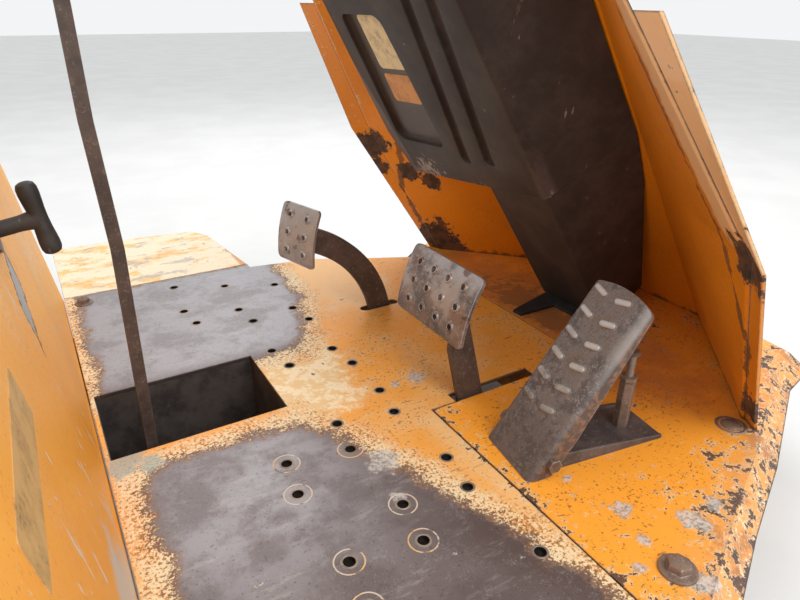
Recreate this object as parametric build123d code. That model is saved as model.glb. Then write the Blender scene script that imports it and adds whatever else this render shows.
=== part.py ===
"""Driver's platform of a site dumper: floor plates, three pedals, range lever,
seat box front wall and the steering console with its wheel.

Every piece is drawn in the deck frame: x ahead of the seat wall's foot, y to the
driver's left, z above the floor plates' top. The finished pieces are moved so that
the origin is the centre of the four mounting holes in the chassis rails.
Millimetres throughout.
"""
from build123d import *
from math import asin, cos, degrees, hypot, radians, sin, sqrt, tan
import os

os.makedirs("parts", exist_ok=True)

# Floor plates
plate_t = 6.0
seam_gap = 2.0
left_seam_y = 485.0
right_seam_y = -520.0
front_seam_x = 682.0
front_corner_y = 372.0
step_seam_x = 347.0
pedal_seam_x = 399.0
pedal_seam_y = -140.0
plate_ahead = 14.0
nose_back = 88.0
nose_half = 318.0
front_end_half = 255.0
holes_y = -20.0
beyond = 2000.0
seat_gap = 0.3

# Lever opening and pedal slots
opening_x = 8.0
opening_length = 224.0
opening_y = 43.0
opening_width = 155.0
clutch_slot_x = 456.0
clutch_slot_length = 75.0
clutch_slot_width = 19.0
brake_slot_x = 438.0
brake_slot_length = 142.0
brake_slot_width = 20.0

# Punched drain holes: rows across the deck, holes in staggered pairs
drain_hole_r = 6.5
drain_row_x = 180.0
drain_row_pitch = 86.0
drain_row_drift = 40.5
drain_first_y = 43.0
drain_pair_pitch = 167.0
drain_pair_gap = 54.5
drain_pair_skew = 8.0
drain_rows = 3

# Step plates
step_depth = 38.0
step_splay = 10.0
gusset_t = 8.0

# Edge strip of the front plate
strip_drop = 22.0
strip_width = 27.0

# Ledge bars under the seams
ledge_width = 40.0
ledge_t = 6.0

# Chassis rails and cross-members
rail_y = 300.0
rail_height = 100.0
rail_width = 55.0
rail_t = 6.0
rail_back_x = -60.0
rail_end_back = 105.0
member_depth = 60.0
member_inset = 30.0
middle_member_x = 620.0
member_width = 50.0
member_t = 5.0
mount_x = 400.0
mount_spacing_x = 600.0
mount_hole_r = 9.0

# Seat box front wall
wall_lean = 9.0
wall_height = 400.0
wall_t = 4.0
wall_fold = 60.0
wall_gap = 2.0

# Pedal shaft and pedals
shaft_x = 295.0
shaft_z = -38.0
shaft_r = 12.5
boss_r = 19.0
boss_length = 34.0
running_gap = 0.05
arm_t = 9.0
clutch_y = 179.0
clutch_arm_r = 200.0
clutch_arm_width = 40.0
clutch_arm_top = 76.0
clutch_arm_bottom = -24.0
brake_y = -131.0
brake_arm_width = 42.0
brake_arm_lean = 13.0
brake_arm_top = 170.0
pad_t = 5.0
pad_height = 98.0
pad_bend_r = 210.0
pad_corner_r = 8.0
clutch_pad_width = 94.0
brake_pad_width = 158.0
pad_hole_r = 4.5
pad_hole_rim = 2.2

# Accelerator treadle
treadle_x = 421.0
treadle_y = -268.0
treadle_yaw = -8.3
treadle_slope = 55.3
treadle_length = 247.0
treadle_top_sag = 9.0
treadle_corner_r = 12.0
treadle_edge_r = 9.0
lug_first = 80.0
lug_pitch = 30.3
lug_count = 6
lug_length = 25.0
lug_width = 10.0
lug_height = 3.0
lug_taper = 32.0
lug_slant = 13.5
lug_middle = 9.5
lug_half_gauge = 19.0
treadle_width = 97.0
treadle_t = 4.0
skirt_depth = 26.0
pivot_along = 34.0
pivot_below = 15.0
pivot_r = 5.0
base_start = 10.0
base_length = 196.0
base_t = 4.0
ear_r = 9.5
ear_clearance = 5.5
screw_from_end = 34.0
screw_top = 116.0

# Range lever
lever_x = 66.0
lever_y = 45.0
lever_width = 15.0
lever_t = 8.0
lever_top_bow = -5.0
lever_pivot_z = -120.0
lever_pin_r = 8.0
lever_top_z = 556.0
knob_r = 22.0
knob_steps = 9
tray_depth = 165.0
tray_t = 3.0

# Steering console: the rear faces lean back by console_lean
console_lean = 34.0
console_t = 4.0
console_gap = 2.0
deck_length = 971.0
front_lean = 35.2
front_half = 140.0
cowl_foot_rear_x = 748.0
cowl_foot_half = 368.0
cowl_waist_z = 270.0
cowl_waist_rear_x = 595.0
cowl_waist_half = 402.0
cowl_rim_behind = 3.3
cowl_rim_half = 290.0
console_foot_x = 798.0
console_height = 600.0
console_ridge = 70.0
console_side_splay = 27.4
console_edge_r = 9.0
console_under_rise = 0.2
cover_left = 75.0
cover_foot_right = 62.0
cover_foot_depth = 108.0
flange_t = 4.0
flange_top_z = 495.0
fold_gap = 0.02
dash_t = 4.0
pocket_depth = 12.0
pocket_corner_r = 18.0
flute_depth = 7.0
flute_half = 12.0
flute_corner_r = 8.0
gaiter_t = 5.0

# Wheel and column
column_r = 25.0
column_length = 92.0
column_forward = 60.0
wheel_shaft_r = 11.0
shaft_in_column = 70.0
hub_clearance = 6.0
hub_r = 34.0
hub_length = 44.0
wheel_r = 190.0
wheel_rim_r = 13.0
rim_sides = 12
spoke_count = 3
spoke_width = 26.0
spoke_t = 6.0

# Seat box latch
latch_y = -17.0
latch_z = 293.0
latch_reach = 34.0
latch_bar = 76.0
latch_bar_width = 20.0
latch_stem_r = 8.0
latch_plate_r = 22.0

deck_to_mount = Pos(-mount_x, 0, plate_t + rail_height)
pieces = {}


def keep(name, shape):
    """Moves a finished piece from the deck frame to the mount frame."""
    pieces[name] = deck_to_mount * shape


def polygon(points, top=0.0):
    """A flat face at height top from corner points."""
    return Pos(0, 0, top) * make_face(Polyline(*points, close=True))


def slab(points, thickness, top=0.0):
    """A plate with its top face at height top."""
    return extrude(polygon(points, top), amount=thickness, dir=(0, 0, -1))


def block(x0, x1, y0, y1, z0, z1):
    """A box between two corners."""
    centre = ((x0 + x1) / 2, (y0 + y1) / 2, (z0 + z1) / 2)
    return Pos(*centre) * Box(x1 - x0, y1 - y0, z1 - z0)


def rod(x, y, z, radius, length, direction):
    """A cylinder centred on a point along a direction."""
    return Plane(origin=(x, y, z), z_dir=direction) * Cylinder(radius, length)


def side_plate(points, y, thickness):
    """A plate standing fore and aft, drawn as x, z points, centred on y."""
    outline = make_face(Plane.XZ * Polyline(*points, close=True))
    return Pos(0, y + thickness / 2, 0) * extrude(outline, amount=thickness, dir=(0, -1, 0))


def skirted(points, outward, drop, thickness):
    """A plate whose edges fold down and outward.

    outward holds one dx, dy for each corner; a corner on a seam stays put.
    """
    foot = [(x + dx, y + dy) for (x, y), (dx, dy) in zip(points, outward)]
    outer = loft([polygon(points), polygon(foot, -drop)], ruled=True)
    return outer - Pos(0, 0, -thickness) * outer


def drain_holes():
    """Centres of the punched holes, mirrored about the deck's middle."""
    centres = []
    for row in range(drain_rows):
        for side in (1, -1):
            first = drain_first_y + drain_row_drift * (drain_rows - 1 - row)
            for pair in range(3):
                inner = first + drain_pair_pitch * pair
                x = drain_row_x + drain_row_pitch * row
                centres.append((x + drain_pair_skew, holes_y + side * inner))
                if pair < 2:
                    centres.append((x, holes_y + side * (inner + drain_pair_gap)))
    return centres


def in_opening(x, y):
    """True where a punched hole would fall in or beside the lever opening."""
    ahead = 3 * drain_hole_r
    beside = 6 * drain_hole_r
    inside_x = opening_x - ahead < x < opening_x + opening_length + ahead
    return inside_x and abs(y - opening_y) < opening_width / 2 + beside


def floor_plate():
    """Main lift-out plate round the pedals."""
    g = seam_gap / 2
    outline = [
        (wall_gap, right_seam_y + g),
        (pedal_seam_x - g, right_seam_y + g),
        (pedal_seam_x - g, pedal_seam_y + g),
        (front_seam_x - g, pedal_seam_y + g),
        (front_seam_x - g, front_corner_y - 24),
        (654, 358),
        (585, 390),
        (471, 447),
        (step_seam_x, 466),
        (step_seam_x, left_seam_y - g),
        (wall_gap, left_seam_y - g),
    ]
    plate = slab(outline, plate_t)
    plate -= Pos(opening_x + opening_length / 2, opening_y, 0) * Box(
        opening_length, opening_width, 3 * plate_t)
    clutch_mid = clutch_slot_x + clutch_slot_length / 2
    plate -= Pos(clutch_mid, clutch_y, -2 * plate_t) * extrude(
        SlotOverall(clutch_slot_length, clutch_slot_width), amount=3 * plate_t)
    plate -= block(brake_slot_x, brake_slot_x + brake_slot_length,
                   pedal_seam_y - g, pedal_seam_y + brake_slot_width, -2 * plate_t, plate_t)
    for x, y in drain_holes():
        if not in_opening(x, y) and right_seam_y + 40 < y < left_seam_y - 30:
            plate -= Pos(x, y, 0) * Cylinder(drain_hole_r, 3 * plate_t)
    return plate


def front_plate():
    """Fixed plate under the accelerator and the console, with its edge strip."""
    g = seam_gap / 2
    front = deck_length + plate_ahead
    nose_x = front - nose_back
    # corner x, corner y, outward dx, outward dy
    corners = [
        (pedal_seam_x + g, -547, 0, -strip_width),
        (494, -504, 11, -24),
        (583, -463, 10, -24),
        (713, -409, 10, -24),
        (nose_x, -nose_half, 12, -25),
        (front - 5, -nose_half + 24, 12, -31),
        (front, -front_end_half, 19, -3),
        (front, front_end_half, 19, 3),
        (front - 5, nose_half - 24, 12, 31),
        (nose_x, nose_half, 12, 25),
        (800, 388, 12, 22),
        (742, 404, 2, 24),
        (front_seam_x + g, front_corner_y, 0, 24),
        (front_seam_x + g, pedal_seam_y - g, 0, 0),
        (pedal_seam_x + g, pedal_seam_y - g, 0, 0),
    ]
    points = [(x, y) for x, y, dx, dy in corners]
    outward = [(dx, dy) for x, y, dx, dy in corners]
    return skirted(points, outward, strip_drop, plate_t)


def ledges():
    """Flat bars welded under the seams, on which the lift-out plate rests."""
    rail_side = rail_width / 2 + seat_gap
    inner = rail_y - rail_side
    outer = rail_y + rail_side
    half = ledge_width / 2
    step_end = step_seam_x - 26
    slot_side = pedal_seam_y - seam_gap - 6
    # x from, x to, y from, y to
    bars = [
        (wall_gap + half, step_end, left_seam_y - half, left_seam_y + half),
        (wall_gap + half, step_end, right_seam_y - half, right_seam_y + half),
        (pedal_seam_x - half, pedal_seam_x + half, right_seam_y + half, -outer),
        (pedal_seam_x - half, pedal_seam_x + half, -inner, slot_side),
        (front_seam_x - half, front_seam_x + half, pedal_seam_y, inner),
        (front_seam_x - half, front_seam_x + half, outer, front_corner_y - 10),
    ]
    top = -plate_t - seat_gap
    return Compound([block(x0, x1, y0, y1, top - ledge_t, top) for x0, x1, y0, y1 in bars])


def step_plate(side, seam):
    """Step plate outside a seam, folded down at its free edges."""
    g = seam_gap / 2
    # distance ahead of the wall, distance out from the seam, outward dx, outward d out
    corners = [
        (wall_gap, g, 0, 0),
        (step_seam_x - 1, g, 0, 0),
        (322, 215, step_splay, 3),
        (296, 262, step_splay, step_splay),
        (142, 279, 0, step_splay),
        (wall_gap, 285, 0, step_splay),
    ]
    points = [(x, seam + side * out) for x, out, dx, dout in corners]
    outward = [(dx, side * dout) for x, out, dx, dout in corners]
    return skirted(points, outward, step_depth, plate_t)


def rail(side):
    """Channel rail with its open side inward, drilled for the mounting bolts."""
    y = side * rail_y
    web = side * rail_width / 2
    top = -plate_t
    bottom = top - rail_height
    front = deck_length - rail_end_back
    body = block(rail_back_x, front, y - rail_width / 2, y + rail_width / 2, bottom, top)
    body -= Pos(0, -side * rail_t, 0) * block(
        rail_back_x - 1, front + 1, y - rail_width / 2, y + rail_width / 2,
        bottom + rail_t, top - rail_t)
    for end in (-1, 1):
        x = mount_x + end * mount_spacing_x / 2
        body -= Pos(x, y, bottom) * Cylinder(mount_hole_r, 3 * rail_t)
    body -= rod(shaft_x, y + web, shaft_z, shaft_r + running_gap, 4 * rail_t, (0, 1, 0))
    return body


def cross_member(x):
    """Box tube between the rails' webs, under the plates."""
    reach = rail_y + rail_width / 2 - rail_t - seat_gap
    top = -plate_t - rail_t - seat_gap
    body = block(x - member_width / 2, x + member_width / 2, -reach, reach,
                 top - member_depth, top)
    wall = member_width / 2 - member_t
    return body - block(x - wall, x + wall, -reach - 1, reach + 1,
                        top - member_depth + member_t, top - member_t)


def step_brackets(side, seam):
    """Two gusset plates that carry a step plate from the rail's web."""
    inner = side * (rail_y + rail_width / 2 + seat_gap)
    outer = seam + side * 250
    top = -plate_t - seat_gap
    notch = ledge_width / 2 + seat_gap
    shapes = []
    for x in (40, 250):
        outline = Plane.YZ * Polyline(
            (inner, top), (outer, top), (outer, top - 28),
            (inner, -plate_t - rail_height + 8), close=True)
        gusset = extrude(make_face(outline), amount=gusset_t / 2, both=True)
        gusset -= block(-gusset_t, gusset_t, seam - notch, seam + notch,
                        top - ledge_t - seat_gap, top + 1)
        shapes.append(Pos(x, 0, 0) * gusset)
    return Compound(shapes)


def seat_wall():
    """Leaning front wall of the seat box, folded back at its top and sides."""
    lean = radians(wall_lean)
    def at(z, back):
        return (-z * tan(lean) - back, z)
    low = -plate_t
    deep = wall_fold + 5
    width = left_seam_y - right_seam_y
    middle = (left_seam_y + right_seam_y) / 2
    body = side_plate([at(low, 0), at(wall_height, 0), at(wall_height, wall_fold),
                       at(low, wall_fold)], middle, width)
    room = side_plate([at(low - 5, wall_t), at(wall_height - wall_t, wall_t),
                       at(wall_height - wall_t, deep), at(low - 5, deep)],
                      middle, width - 2 * wall_t)
    body -= room
    return body - latch_place() * Cylinder(latch_stem_r + running_gap, 4 * wall_t)


def pedal_boss(y):
    """Tube that turns on the pedal shaft."""
    tube = rod(shaft_x, y, shaft_z, boss_r, boss_length, (0, 1, 0))
    return tube - rod(shaft_x, y, shaft_z, shaft_r + running_gap, boss_length + 2, (0, 1, 0))


def arc_point(radius, angle):
    """A point on an arc about the pedal shaft, angle above forward."""
    return (shaft_x + radius * cos(radians(angle)), shaft_z + radius * sin(radians(angle)))


def clutch_arm():
    """Flat bar curved about the pedal shaft, with the lever that carries it."""
    outer = clutch_arm_r + clutch_arm_width / 2
    inner = clutch_arm_r - clutch_arm_width / 2
    middle = (clutch_arm_top + clutch_arm_bottom) / 2
    edge = [arc_point(outer, clutch_arm_bottom), arc_point(outer, middle),
            arc_point(outer, clutch_arm_top), arc_point(inner, clutch_arm_top),
            arc_point(inner, middle), arc_point(inner, clutch_arm_bottom)]
    with BuildSketch(Plane.XZ) as bar:
        with BuildLine():
            ThreePointArc(edge[0], edge[1], edge[2])
            Line(edge[2], edge[3])
            ThreePointArc(edge[3], edge[4], edge[5])
            Line(edge[5], edge[0])
        make_face()
    arm = Pos(0, clutch_y + arm_t / 2, 0) * extrude(bar.sketch, amount=arm_t, dir=(0, -1, 0))
    lever = side_plate(
        [arc_point(boss_r - 2, 60), arc_point(outer - 1, clutch_arm_bottom + 12),
         arc_point(outer - 1, clutch_arm_bottom), arc_point(boss_r - 2, -100)],
        clutch_y, arm_t)
    arm = arm + lever - rod(shaft_x, clutch_y, shaft_z, boss_r + 0.01, arm_t + 2, (0, 1, 0))
    return arm - clutch_pad_place() * pad_room(clutch_pad_width)


def brake_arm():
    """Straight leaning bar, bent forward below the floor to its boss."""
    lean = radians(brake_arm_lean)
    foot_x = 467.0
    half = brake_arm_width / 2
    low_z = -52.0
    def across(z, offset):
        return (foot_x - z * tan(lean) + offset, z)
    outline = [across(brake_arm_top, half - 6), across(low_z, half), (440, -78),
               arc_point(boss_r - 2, -90), arc_point(boss_r - 2, 80),
               (430, -34), across(low_z + 40, -half), across(brake_arm_top, -half)]
    arm = side_plate(outline, brake_y, arm_t)
    arm -= rod(shaft_x, brake_y, shaft_z, boss_r + 0.01, arm_t + 4, (0, 1, 0))
    return arm - brake_pad_place() * pad_room(brake_pad_width)


def pad_bend(radius, thickness, half_height):
    """Side outline of a bent strip whose outer face has this radius, crest at 0, 0."""
    half = degrees(asin(half_height / radius))
    inner = radius - thickness
    def at(r, angle):
        return (r * sin(radians(angle)), r * cos(radians(angle)) - radius)
    with BuildSketch(Plane.XZ) as bend:
        with BuildLine():
            ThreePointArc(at(radius, -half), at(radius, 0), at(radius, half))
            Line(at(radius, half), at(inner, half))
            ThreePointArc(at(inner, half), at(inner, 0), at(inner, -half))
            Line(at(inner, -half), at(radius, -half))
        make_face()
    return bend.sketch


def pad(width, holes):
    """Curved foot pad with punched, raised holes, bulging towards the driver.

    Drawn lying on its back: local x up the pad, y across it, z towards the driver.
    """
    strip = pad_bend(pad_bend_r, pad_t, pad_height / 2 + pad_t)
    shape = extrude(strip, amount=width / 2 + pad_t, both=True)
    shape &= extrude(RectangleRounded(pad_height, width, pad_corner_r), amount=3 * pad_t, both=True)
    bores = []
    for u, v in holes:
        fall = pad_bend_r - sqrt(pad_bend_r ** 2 - u ** 2)
        place = Pos(u, v, -fall) * Rot(0, degrees(asin(u / pad_bend_r)), 0)
        rim = Cone(pad_hole_r + 4, pad_hole_r + 1.5, pad_t / 2 + pad_hole_rim)
        shape += place * Pos(0, 0, (pad_hole_rim - pad_t / 2) / 2) * rim
        bores.append(place * Cylinder(pad_hole_r, 4 * pad_t))
    return shape - bores


def pad_room(width):
    """Everything in front of a pad's back face, cut from the arm that carries it."""
    radius = pad_bend_r - pad_t - seat_gap
    half = degrees(asin(pad_height / 2 / radius)) + 12
    deep = pad_height
    def at(angle):
        return (radius * sin(radians(angle)), radius * cos(radians(angle)) - pad_bend_r)
    with BuildSketch(Plane.XZ) as room:
        with BuildLine():
            ThreePointArc(at(-half), at(0), at(half))
            Line(at(half), (at(half)[0], deep))
            Line((at(half)[0], deep), (at(-half)[0], deep))
            Line((at(-half)[0], deep), at(-half))
        make_face()
    return extrude(room.sketch, amount=width, both=True)


def pad_place(x, y, z, lean, yaw=0.0):
    """Places a pad by the crest of its face: its top leans forward, yaw turns it left."""
    up = (sin(radians(lean)), 0, cos(radians(lean)))
    out = (-cos(radians(lean)), 0, sin(radians(lean)))
    return Pos(x, y, z) * Rot(0, 0, yaw) * Location(Plane(origin=(0, 0, 0), x_dir=up, z_dir=out))


def clutch_pad_place():
    return pad_place(356, 216, 147, 12.5, 15)


def brake_pad_place():
    return pad_place(435, -81, 143, 20)


treadle_frame = Location(Plane(
    origin=(treadle_x, treadle_y, 0.6),
    x_dir=(cos(radians(treadle_slope)) * cos(radians(treadle_yaw)),
           cos(radians(treadle_slope)) * sin(radians(treadle_yaw)),
           sin(radians(treadle_slope))),
    z_dir=(-sin(radians(treadle_slope)) * cos(radians(treadle_yaw)),
           -sin(radians(treadle_slope)) * sin(radians(treadle_yaw)),
           cos(radians(treadle_slope)))))
base_frame = Location(Plane(
    origin=(treadle_x, treadle_y, 0),
    x_dir=(cos(radians(treadle_yaw)), sin(radians(treadle_yaw)), 0),
    z_dir=(0, 0, 1)))


def treadle_lugs():
    """Two columns of slanted raised lugs on the upper part of the treadle."""
    lugs = []
    for row in range(lug_count):
        along = lug_first + lug_pitch * row
        for side in (-1, 1):
            foot = SlotOverall(lug_length, lug_width)
            bar = extrude(foot, amount=1, dir=(0, 0, -1))
            bar += extrude(foot, amount=lug_height, taper=lug_taper)
            across = lug_middle + side * lug_half_gauge
            lugs.append(Pos(along, across, 0) * Rot(0, 0, 90 - side * lug_slant) * bar)
    return lugs


def treadle_channel(depth, inset, radius):
    """Long block with rounded upper edges, inset from the treadle's outside."""
    half = treadle_width / 2 - inset
    outline = make_face(Polyline((-half, -inset), (half, -inset), (half, -depth), (-half, -depth),
                                 close=True))
    outline = fillet(outline.vertices().sort_by(Axis.Y)[-2:], radius)
    return extrude(Plane.YZ * outline, amount=treadle_length + 1, both=True)


def treadle():
    """Pressed treadle: a plate with a bowed top edge and folded, tapering skirts."""
    w = treadle_width / 2
    side_end = treadle_length - treadle_top_sag
    with BuildSketch() as plan:
        with BuildLine():
            Line((0, w), (0, -w))
            Line((0, -w), (side_end, -w))
            ThreePointArc((side_end, -w), (treadle_length, 0), (side_end, w))
            Line((side_end, w), (0, w))
        make_face()
        fillet(plan.vertices().sort_by(Axis.X)[-2:], treadle_corner_r)
    body = treadle_channel(skirt_depth, 0, treadle_edge_r)
    body -= treadle_channel(2 * skirt_depth, treadle_t, treadle_edge_r - treadle_t)
    body &= extrude(plan.sketch, amount=skirt_depth, both=True)
    long_end = treadle_length + 1
    deep = -skirt_depth - 1
    wedge = Polyline((long_end, -treadle_edge_r), (long_end, deep), (60, deep), close=True)
    heel = Polyline((-1, -treadle_t), (-1, deep), (20, deep), close=True)
    for trim in (wedge, heel):
        body -= extrude(make_face(Plane.XZ * trim), amount=w + 1, both=True)
    for lug in treadle_lugs():
        body += lug
    body -= Pos(pivot_along, 0, -pivot_below) * Rot(90, 0, 0) * Cylinder(
        pivot_r + running_gap, treadle_width + 2)
    placed = treadle_frame * body
    below = Pos(treadle_x, treadle_y, seat_gap - skirt_depth) * Box(
        4 * skirt_depth, 2 * treadle_width, 2 * skirt_depth)
    return placed - below


def pivot_centre():
    """The treadle pivot as distance ahead of its foot and height above the floor."""
    s = radians(treadle_slope)
    ahead = pivot_along * cos(s) + pivot_below * sin(s)
    height = 0.6 + pivot_along * sin(s) - pivot_below * cos(s)
    return ahead, height


def accelerator_base():
    """Floor bracket of the treadle with two ears and tapering side flanges."""
    ahead, height = pivot_centre()
    half = treadle_width / 2 - treadle_t - ear_clearance
    floor = Pos(base_start + base_length / 2, 0, base_t / 2) * Box(base_length, 2 * half, base_t)
    end = base_start + base_length
    outline = Plane.XZ * Polyline(
        (base_start, 0), (end, 0), (end, base_t + 1), (ahead + 20, height),
        (ahead, height), (base_start, base_t), close=True)
    flange = make_face(outline) + Plane.XZ * Pos(ahead, height) * Circle(ear_r)
    for side in (-1, 1):
        ear = extrude(flange, amount=base_t / 2, both=True)
        floor += Pos(0, side * (half - base_t / 2), 0) * ear
    floor -= Pos(ahead, 0, height) * Rot(90, 0, 0) * Cylinder(pivot_r + running_gap, treadle_width)
    return base_frame * floor


def pivot_bolt():
    """Bolt through the treadle's skirts and the bracket's ears, with two spacers."""
    ahead, height = pivot_centre()
    half = treadle_width / 2
    bolt = Rot(90, 0, 0) * Cylinder(pivot_r, treadle_width + 6)
    spacer_gap = 0.2
    inside = half - treadle_t - spacer_gap
    spacer = ear_clearance - 2 * spacer_gap
    for side in (-1, 1):
        head = extrude(RegularPolygon(9, 6), amount=6)
        bolt += Pos(0, side * (half + 0.5), 0) * Rot(-90 * side, 0, 0) * head
        bolt += Pos(0, side * (inside - spacer / 2), 0) * Rot(90, 0, 0) * Cylinder(
            pivot_r + 1.5, spacer)
    return base_frame * Pos(ahead, 0, height) * bolt


def stop_screw():
    """Upright hex boss with the screw that stops the treadle."""
    boss = extrude(RegularPolygon(12, 6), amount=68)
    screw = Pos(0, 0, 60) * extrude(Circle(7), amount=screw_top - base_t - 60)
    nut = Pos(0, 0, 68) * extrude(RegularPolygon(13.5, 6), amount=7)
    cap = Pos(0, 0, screw_top - base_t - 6) * extrude(Circle(11), amount=6)
    ahead = base_start + base_length - screw_from_end
    return base_frame * Pos(ahead, 0, base_t) * (boss + screw + nut + cap)


def lever_tray():
    """Open steel tray under the lever opening that carries the lever's pin."""
    x0 = opening_x - 2
    x1 = opening_x + opening_length + 4
    half = opening_width / 2 + 4
    top = -plate_t - seat_gap
    outer = block(x0, x1, opening_y - half, opening_y + half, top - tray_depth, top)
    inner = block(x0 + tray_t, x1 - tray_t, opening_y - half + tray_t, opening_y + half - tray_t,
                  top - tray_depth + tray_t, top + 1)
    tray = outer - inner
    return tray - rod(lever_x, opening_y, lever_pivot_z, lever_pin_r + running_gap,
                      4 * half, (0, 1, 0))


def lever_pin():
    """Pin across the tray for the lever's boss."""
    half = opening_width / 2 + 10
    return rod(lever_x, opening_y, lever_pivot_z, lever_pin_r, 2 * half, (0, 1, 0))


def range_lever():
    """Slightly bowed flat bar on a boss round the pin."""
    # offset ahead of the pin, height of the bar's middle
    path = [(0, lever_pivot_z), (-3, -53), (-1.5, 52), (2, 232), (-4.5, 381), (-4, 493),
            (lever_top_bow, lever_top_z)]
    half = lever_width / 2
    front = [(lever_x + dx + half, z) for dx, z in path]
    rear = [(lever_x + dx - half, z) for dx, z in reversed(path)]
    bar = side_plate(front + rear, lever_y, lever_t)
    bar += rod(lever_x, lever_y, lever_pivot_z, 2 * lever_pin_r, 36, (0, 1, 0))
    return bar - rod(lever_x, lever_y, lever_pivot_z, lever_pin_r + running_gap, 60, (0, 1, 0))


def lever_knob():
    """Ball knob with a flat foot on the lever's top and a small flat crown."""
    foot = 0.9 * knob_r
    low = -degrees(asin(foot / knob_r))
    high = 83.0
    outline = [(0, -foot)]
    for i in range(knob_steps + 1):
        angle = radians(low + (high - low) * i / knob_steps)
        outline.append((knob_r * cos(angle), knob_r * sin(angle)))
    outline.append((0, knob_r * sin(radians(high))))
    ball = revolve(make_face(Plane.XZ * Polyline(*outline, close=True)), Axis.Z)
    return Pos(lever_x + lever_top_bow, lever_y, lever_top_z + seat_gap + foot) * ball


def wing_edge(z):
    """Rear edge of the wings at height z: its x and its distance from the middle."""
    rim_x = console_foot_x - console_height * tan(radians(console_lean)) - cowl_rim_behind
    # z, rear edge x, rear half width
    foot = (0.0, cowl_foot_rear_x, cowl_foot_half)
    waist = (cowl_waist_z, cowl_waist_rear_x, cowl_waist_half)
    rim = (console_height, rim_x, cowl_rim_half)
    low, high = (foot, waist) if z <= cowl_waist_z else (waist, rim)
    part = (z - low[0]) / (high[0] - low[0])
    return low[1] + part * (high[1] - low[1]), low[2] + part * (high[2] - low[2])


def section(z, inset=0.0, rear=0.0):
    """The cowl's plan at height z: rear left, front left, front right, rear right.

    inset moves the walls inward, square to themselves; rear lengthens the wings.
    """
    x, half = wing_edge(z)
    front = deck_length - z * tan(radians(front_lean))
    slope = (front_half - half) / (front - x)
    across = inset * hypot(1, slope)
    front_x = front - inset / cos(radians(front_lean))
    front_y = half + slope * (front_x - x) - across
    rear_y = half - slope * rear - across
    return [(x - rear, rear_y), (front_x, front_y), (front_x, -front_y), (x - rear, -rear_y)]


cowl_levels = [0.0, cowl_waist_z, console_height + 130]


def cowl_form(inset=0.0, rear=0.0):
    """Solid form of the cowl, its walls moved inward by inset."""
    return loft([polygon(section(z, inset, rear), z) for z in cowl_levels], ruled=True)


def above_dash(lift):
    """Everything above the dash plane raised by lift."""
    return dash_frame() * Pos(0, 0, beyond / 2 + lift) * Box(beyond, beyond, beyond)


def cowl():
    """Steel cowl round the console: front panel and two splayed wings."""
    return cowl_form() - cowl_form(console_t, 6) - above_dash(0)


def wing_flange(side):
    """Return flange folded outward along a wing's rear edge."""
    # z, dx and distance outward of the free edge from the fold
    table = [(0.0, -9.0, 18.0), (cowl_waist_z, -26.0, 26.0), (flange_top_z, -11.0, 34.0)]
    faces = []
    for z, dx, out in table:
        x, half = wing_edge(z)
        near = half + fold_gap
        plan = [(x, near), (x + dx, near + out), (x + dx + flange_t, near + out + 2),
                (x + 1.5 * flange_t, near)]
        faces.append(polygon([(px, side * py) for px, py in plan], z))
    return loft(faces, ruled=True)


def dash_panel():
    """Plate that closes the cowl's top, with a hole for the column."""
    plate = cowl_form() - above_dash(dash_t) - (cowl_form() - above_dash(0))
    bore = Pos(0, column_forward, 0) * Cylinder(column_r + seat_gap, 6 * dash_t)
    return plate - dash_frame() * bore


def console_place(across, out, along):
    """A location on the leaning console: out is proud of its rear face.

    Local x is to the driver's right, y forward from the rear face, z up the column.
    """
    lean = radians(console_lean)
    return Location(Plane(
        origin=(console_foot_x - along * sin(lean) - out * cos(lean), across,
                along * cos(lean) - out * sin(lean)),
        x_dir=(0, -1, 0), z_dir=(-sin(lean), 0, cos(lean))))


def dash_frame():
    """The dash plane: square to the column, through the cowl's rear rim."""
    return console_place(0, 0, console_height / cos(radians(console_lean)))


def rear_panel(points, depth):
    """A block behind an outline drawn on the console's rear face as right, along."""
    face = make_face(Plane.XZ * Polyline(*points, close=True))
    return console_place(0, 0, 0) * extrude(face, amount=depth, dir=(0, 1, 0))


# How far up the slope the box's lower edge lies: at its left end and at the ridge
box_foot_left = (-220.0, 247.0)
box_foot_ridge = (console_ridge, 290.0)


def below_box(drop):
    """Everything below the console box's underside lowered by drop."""
    rise = (box_foot_ridge[1] - box_foot_left[1]) / (box_foot_ridge[0] - box_foot_left[0])
    underside = Location(Plane(origin=(box_foot_ridge[0], 0, box_foot_ridge[1] - drop),
                               x_dir=(1, 0, rise), z_dir=(-rise, -console_under_rise, 1)))
    return console_place(0, 0, 0) * underside * Pos(0, 0, -beyond / 2) * Box(beyond, beyond, beyond)


def flute(foot, foot_along, drift):
    """A shallow channel down the console's rear face, from the dash to its rounded foot."""
    high = beyond / 2
    top = foot + drift * (high - foot_along)
    face = make_face(Polyline((top - flute_half, high), (top + flute_half, high),
                              (foot + flute_half, foot_along), (foot - flute_half, foot_along),
                              close=True))
    face = fillet(face.vertices().sort_by(Axis.Y)[:2], flute_corner_r)
    return extrude(Rot(90, 0, 0) * face, amount=flute_depth, both=True)


def beside_ridge():
    """Everything to the right of the console's splayed right side."""
    side = Pos(console_ridge, 0, 0) * Rot(0, 0, -console_side_splay)
    return console_place(0, 0, 0) * side * Pos(beyond / 2, 0, 0) * Box(beyond, beyond, beyond)


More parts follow.
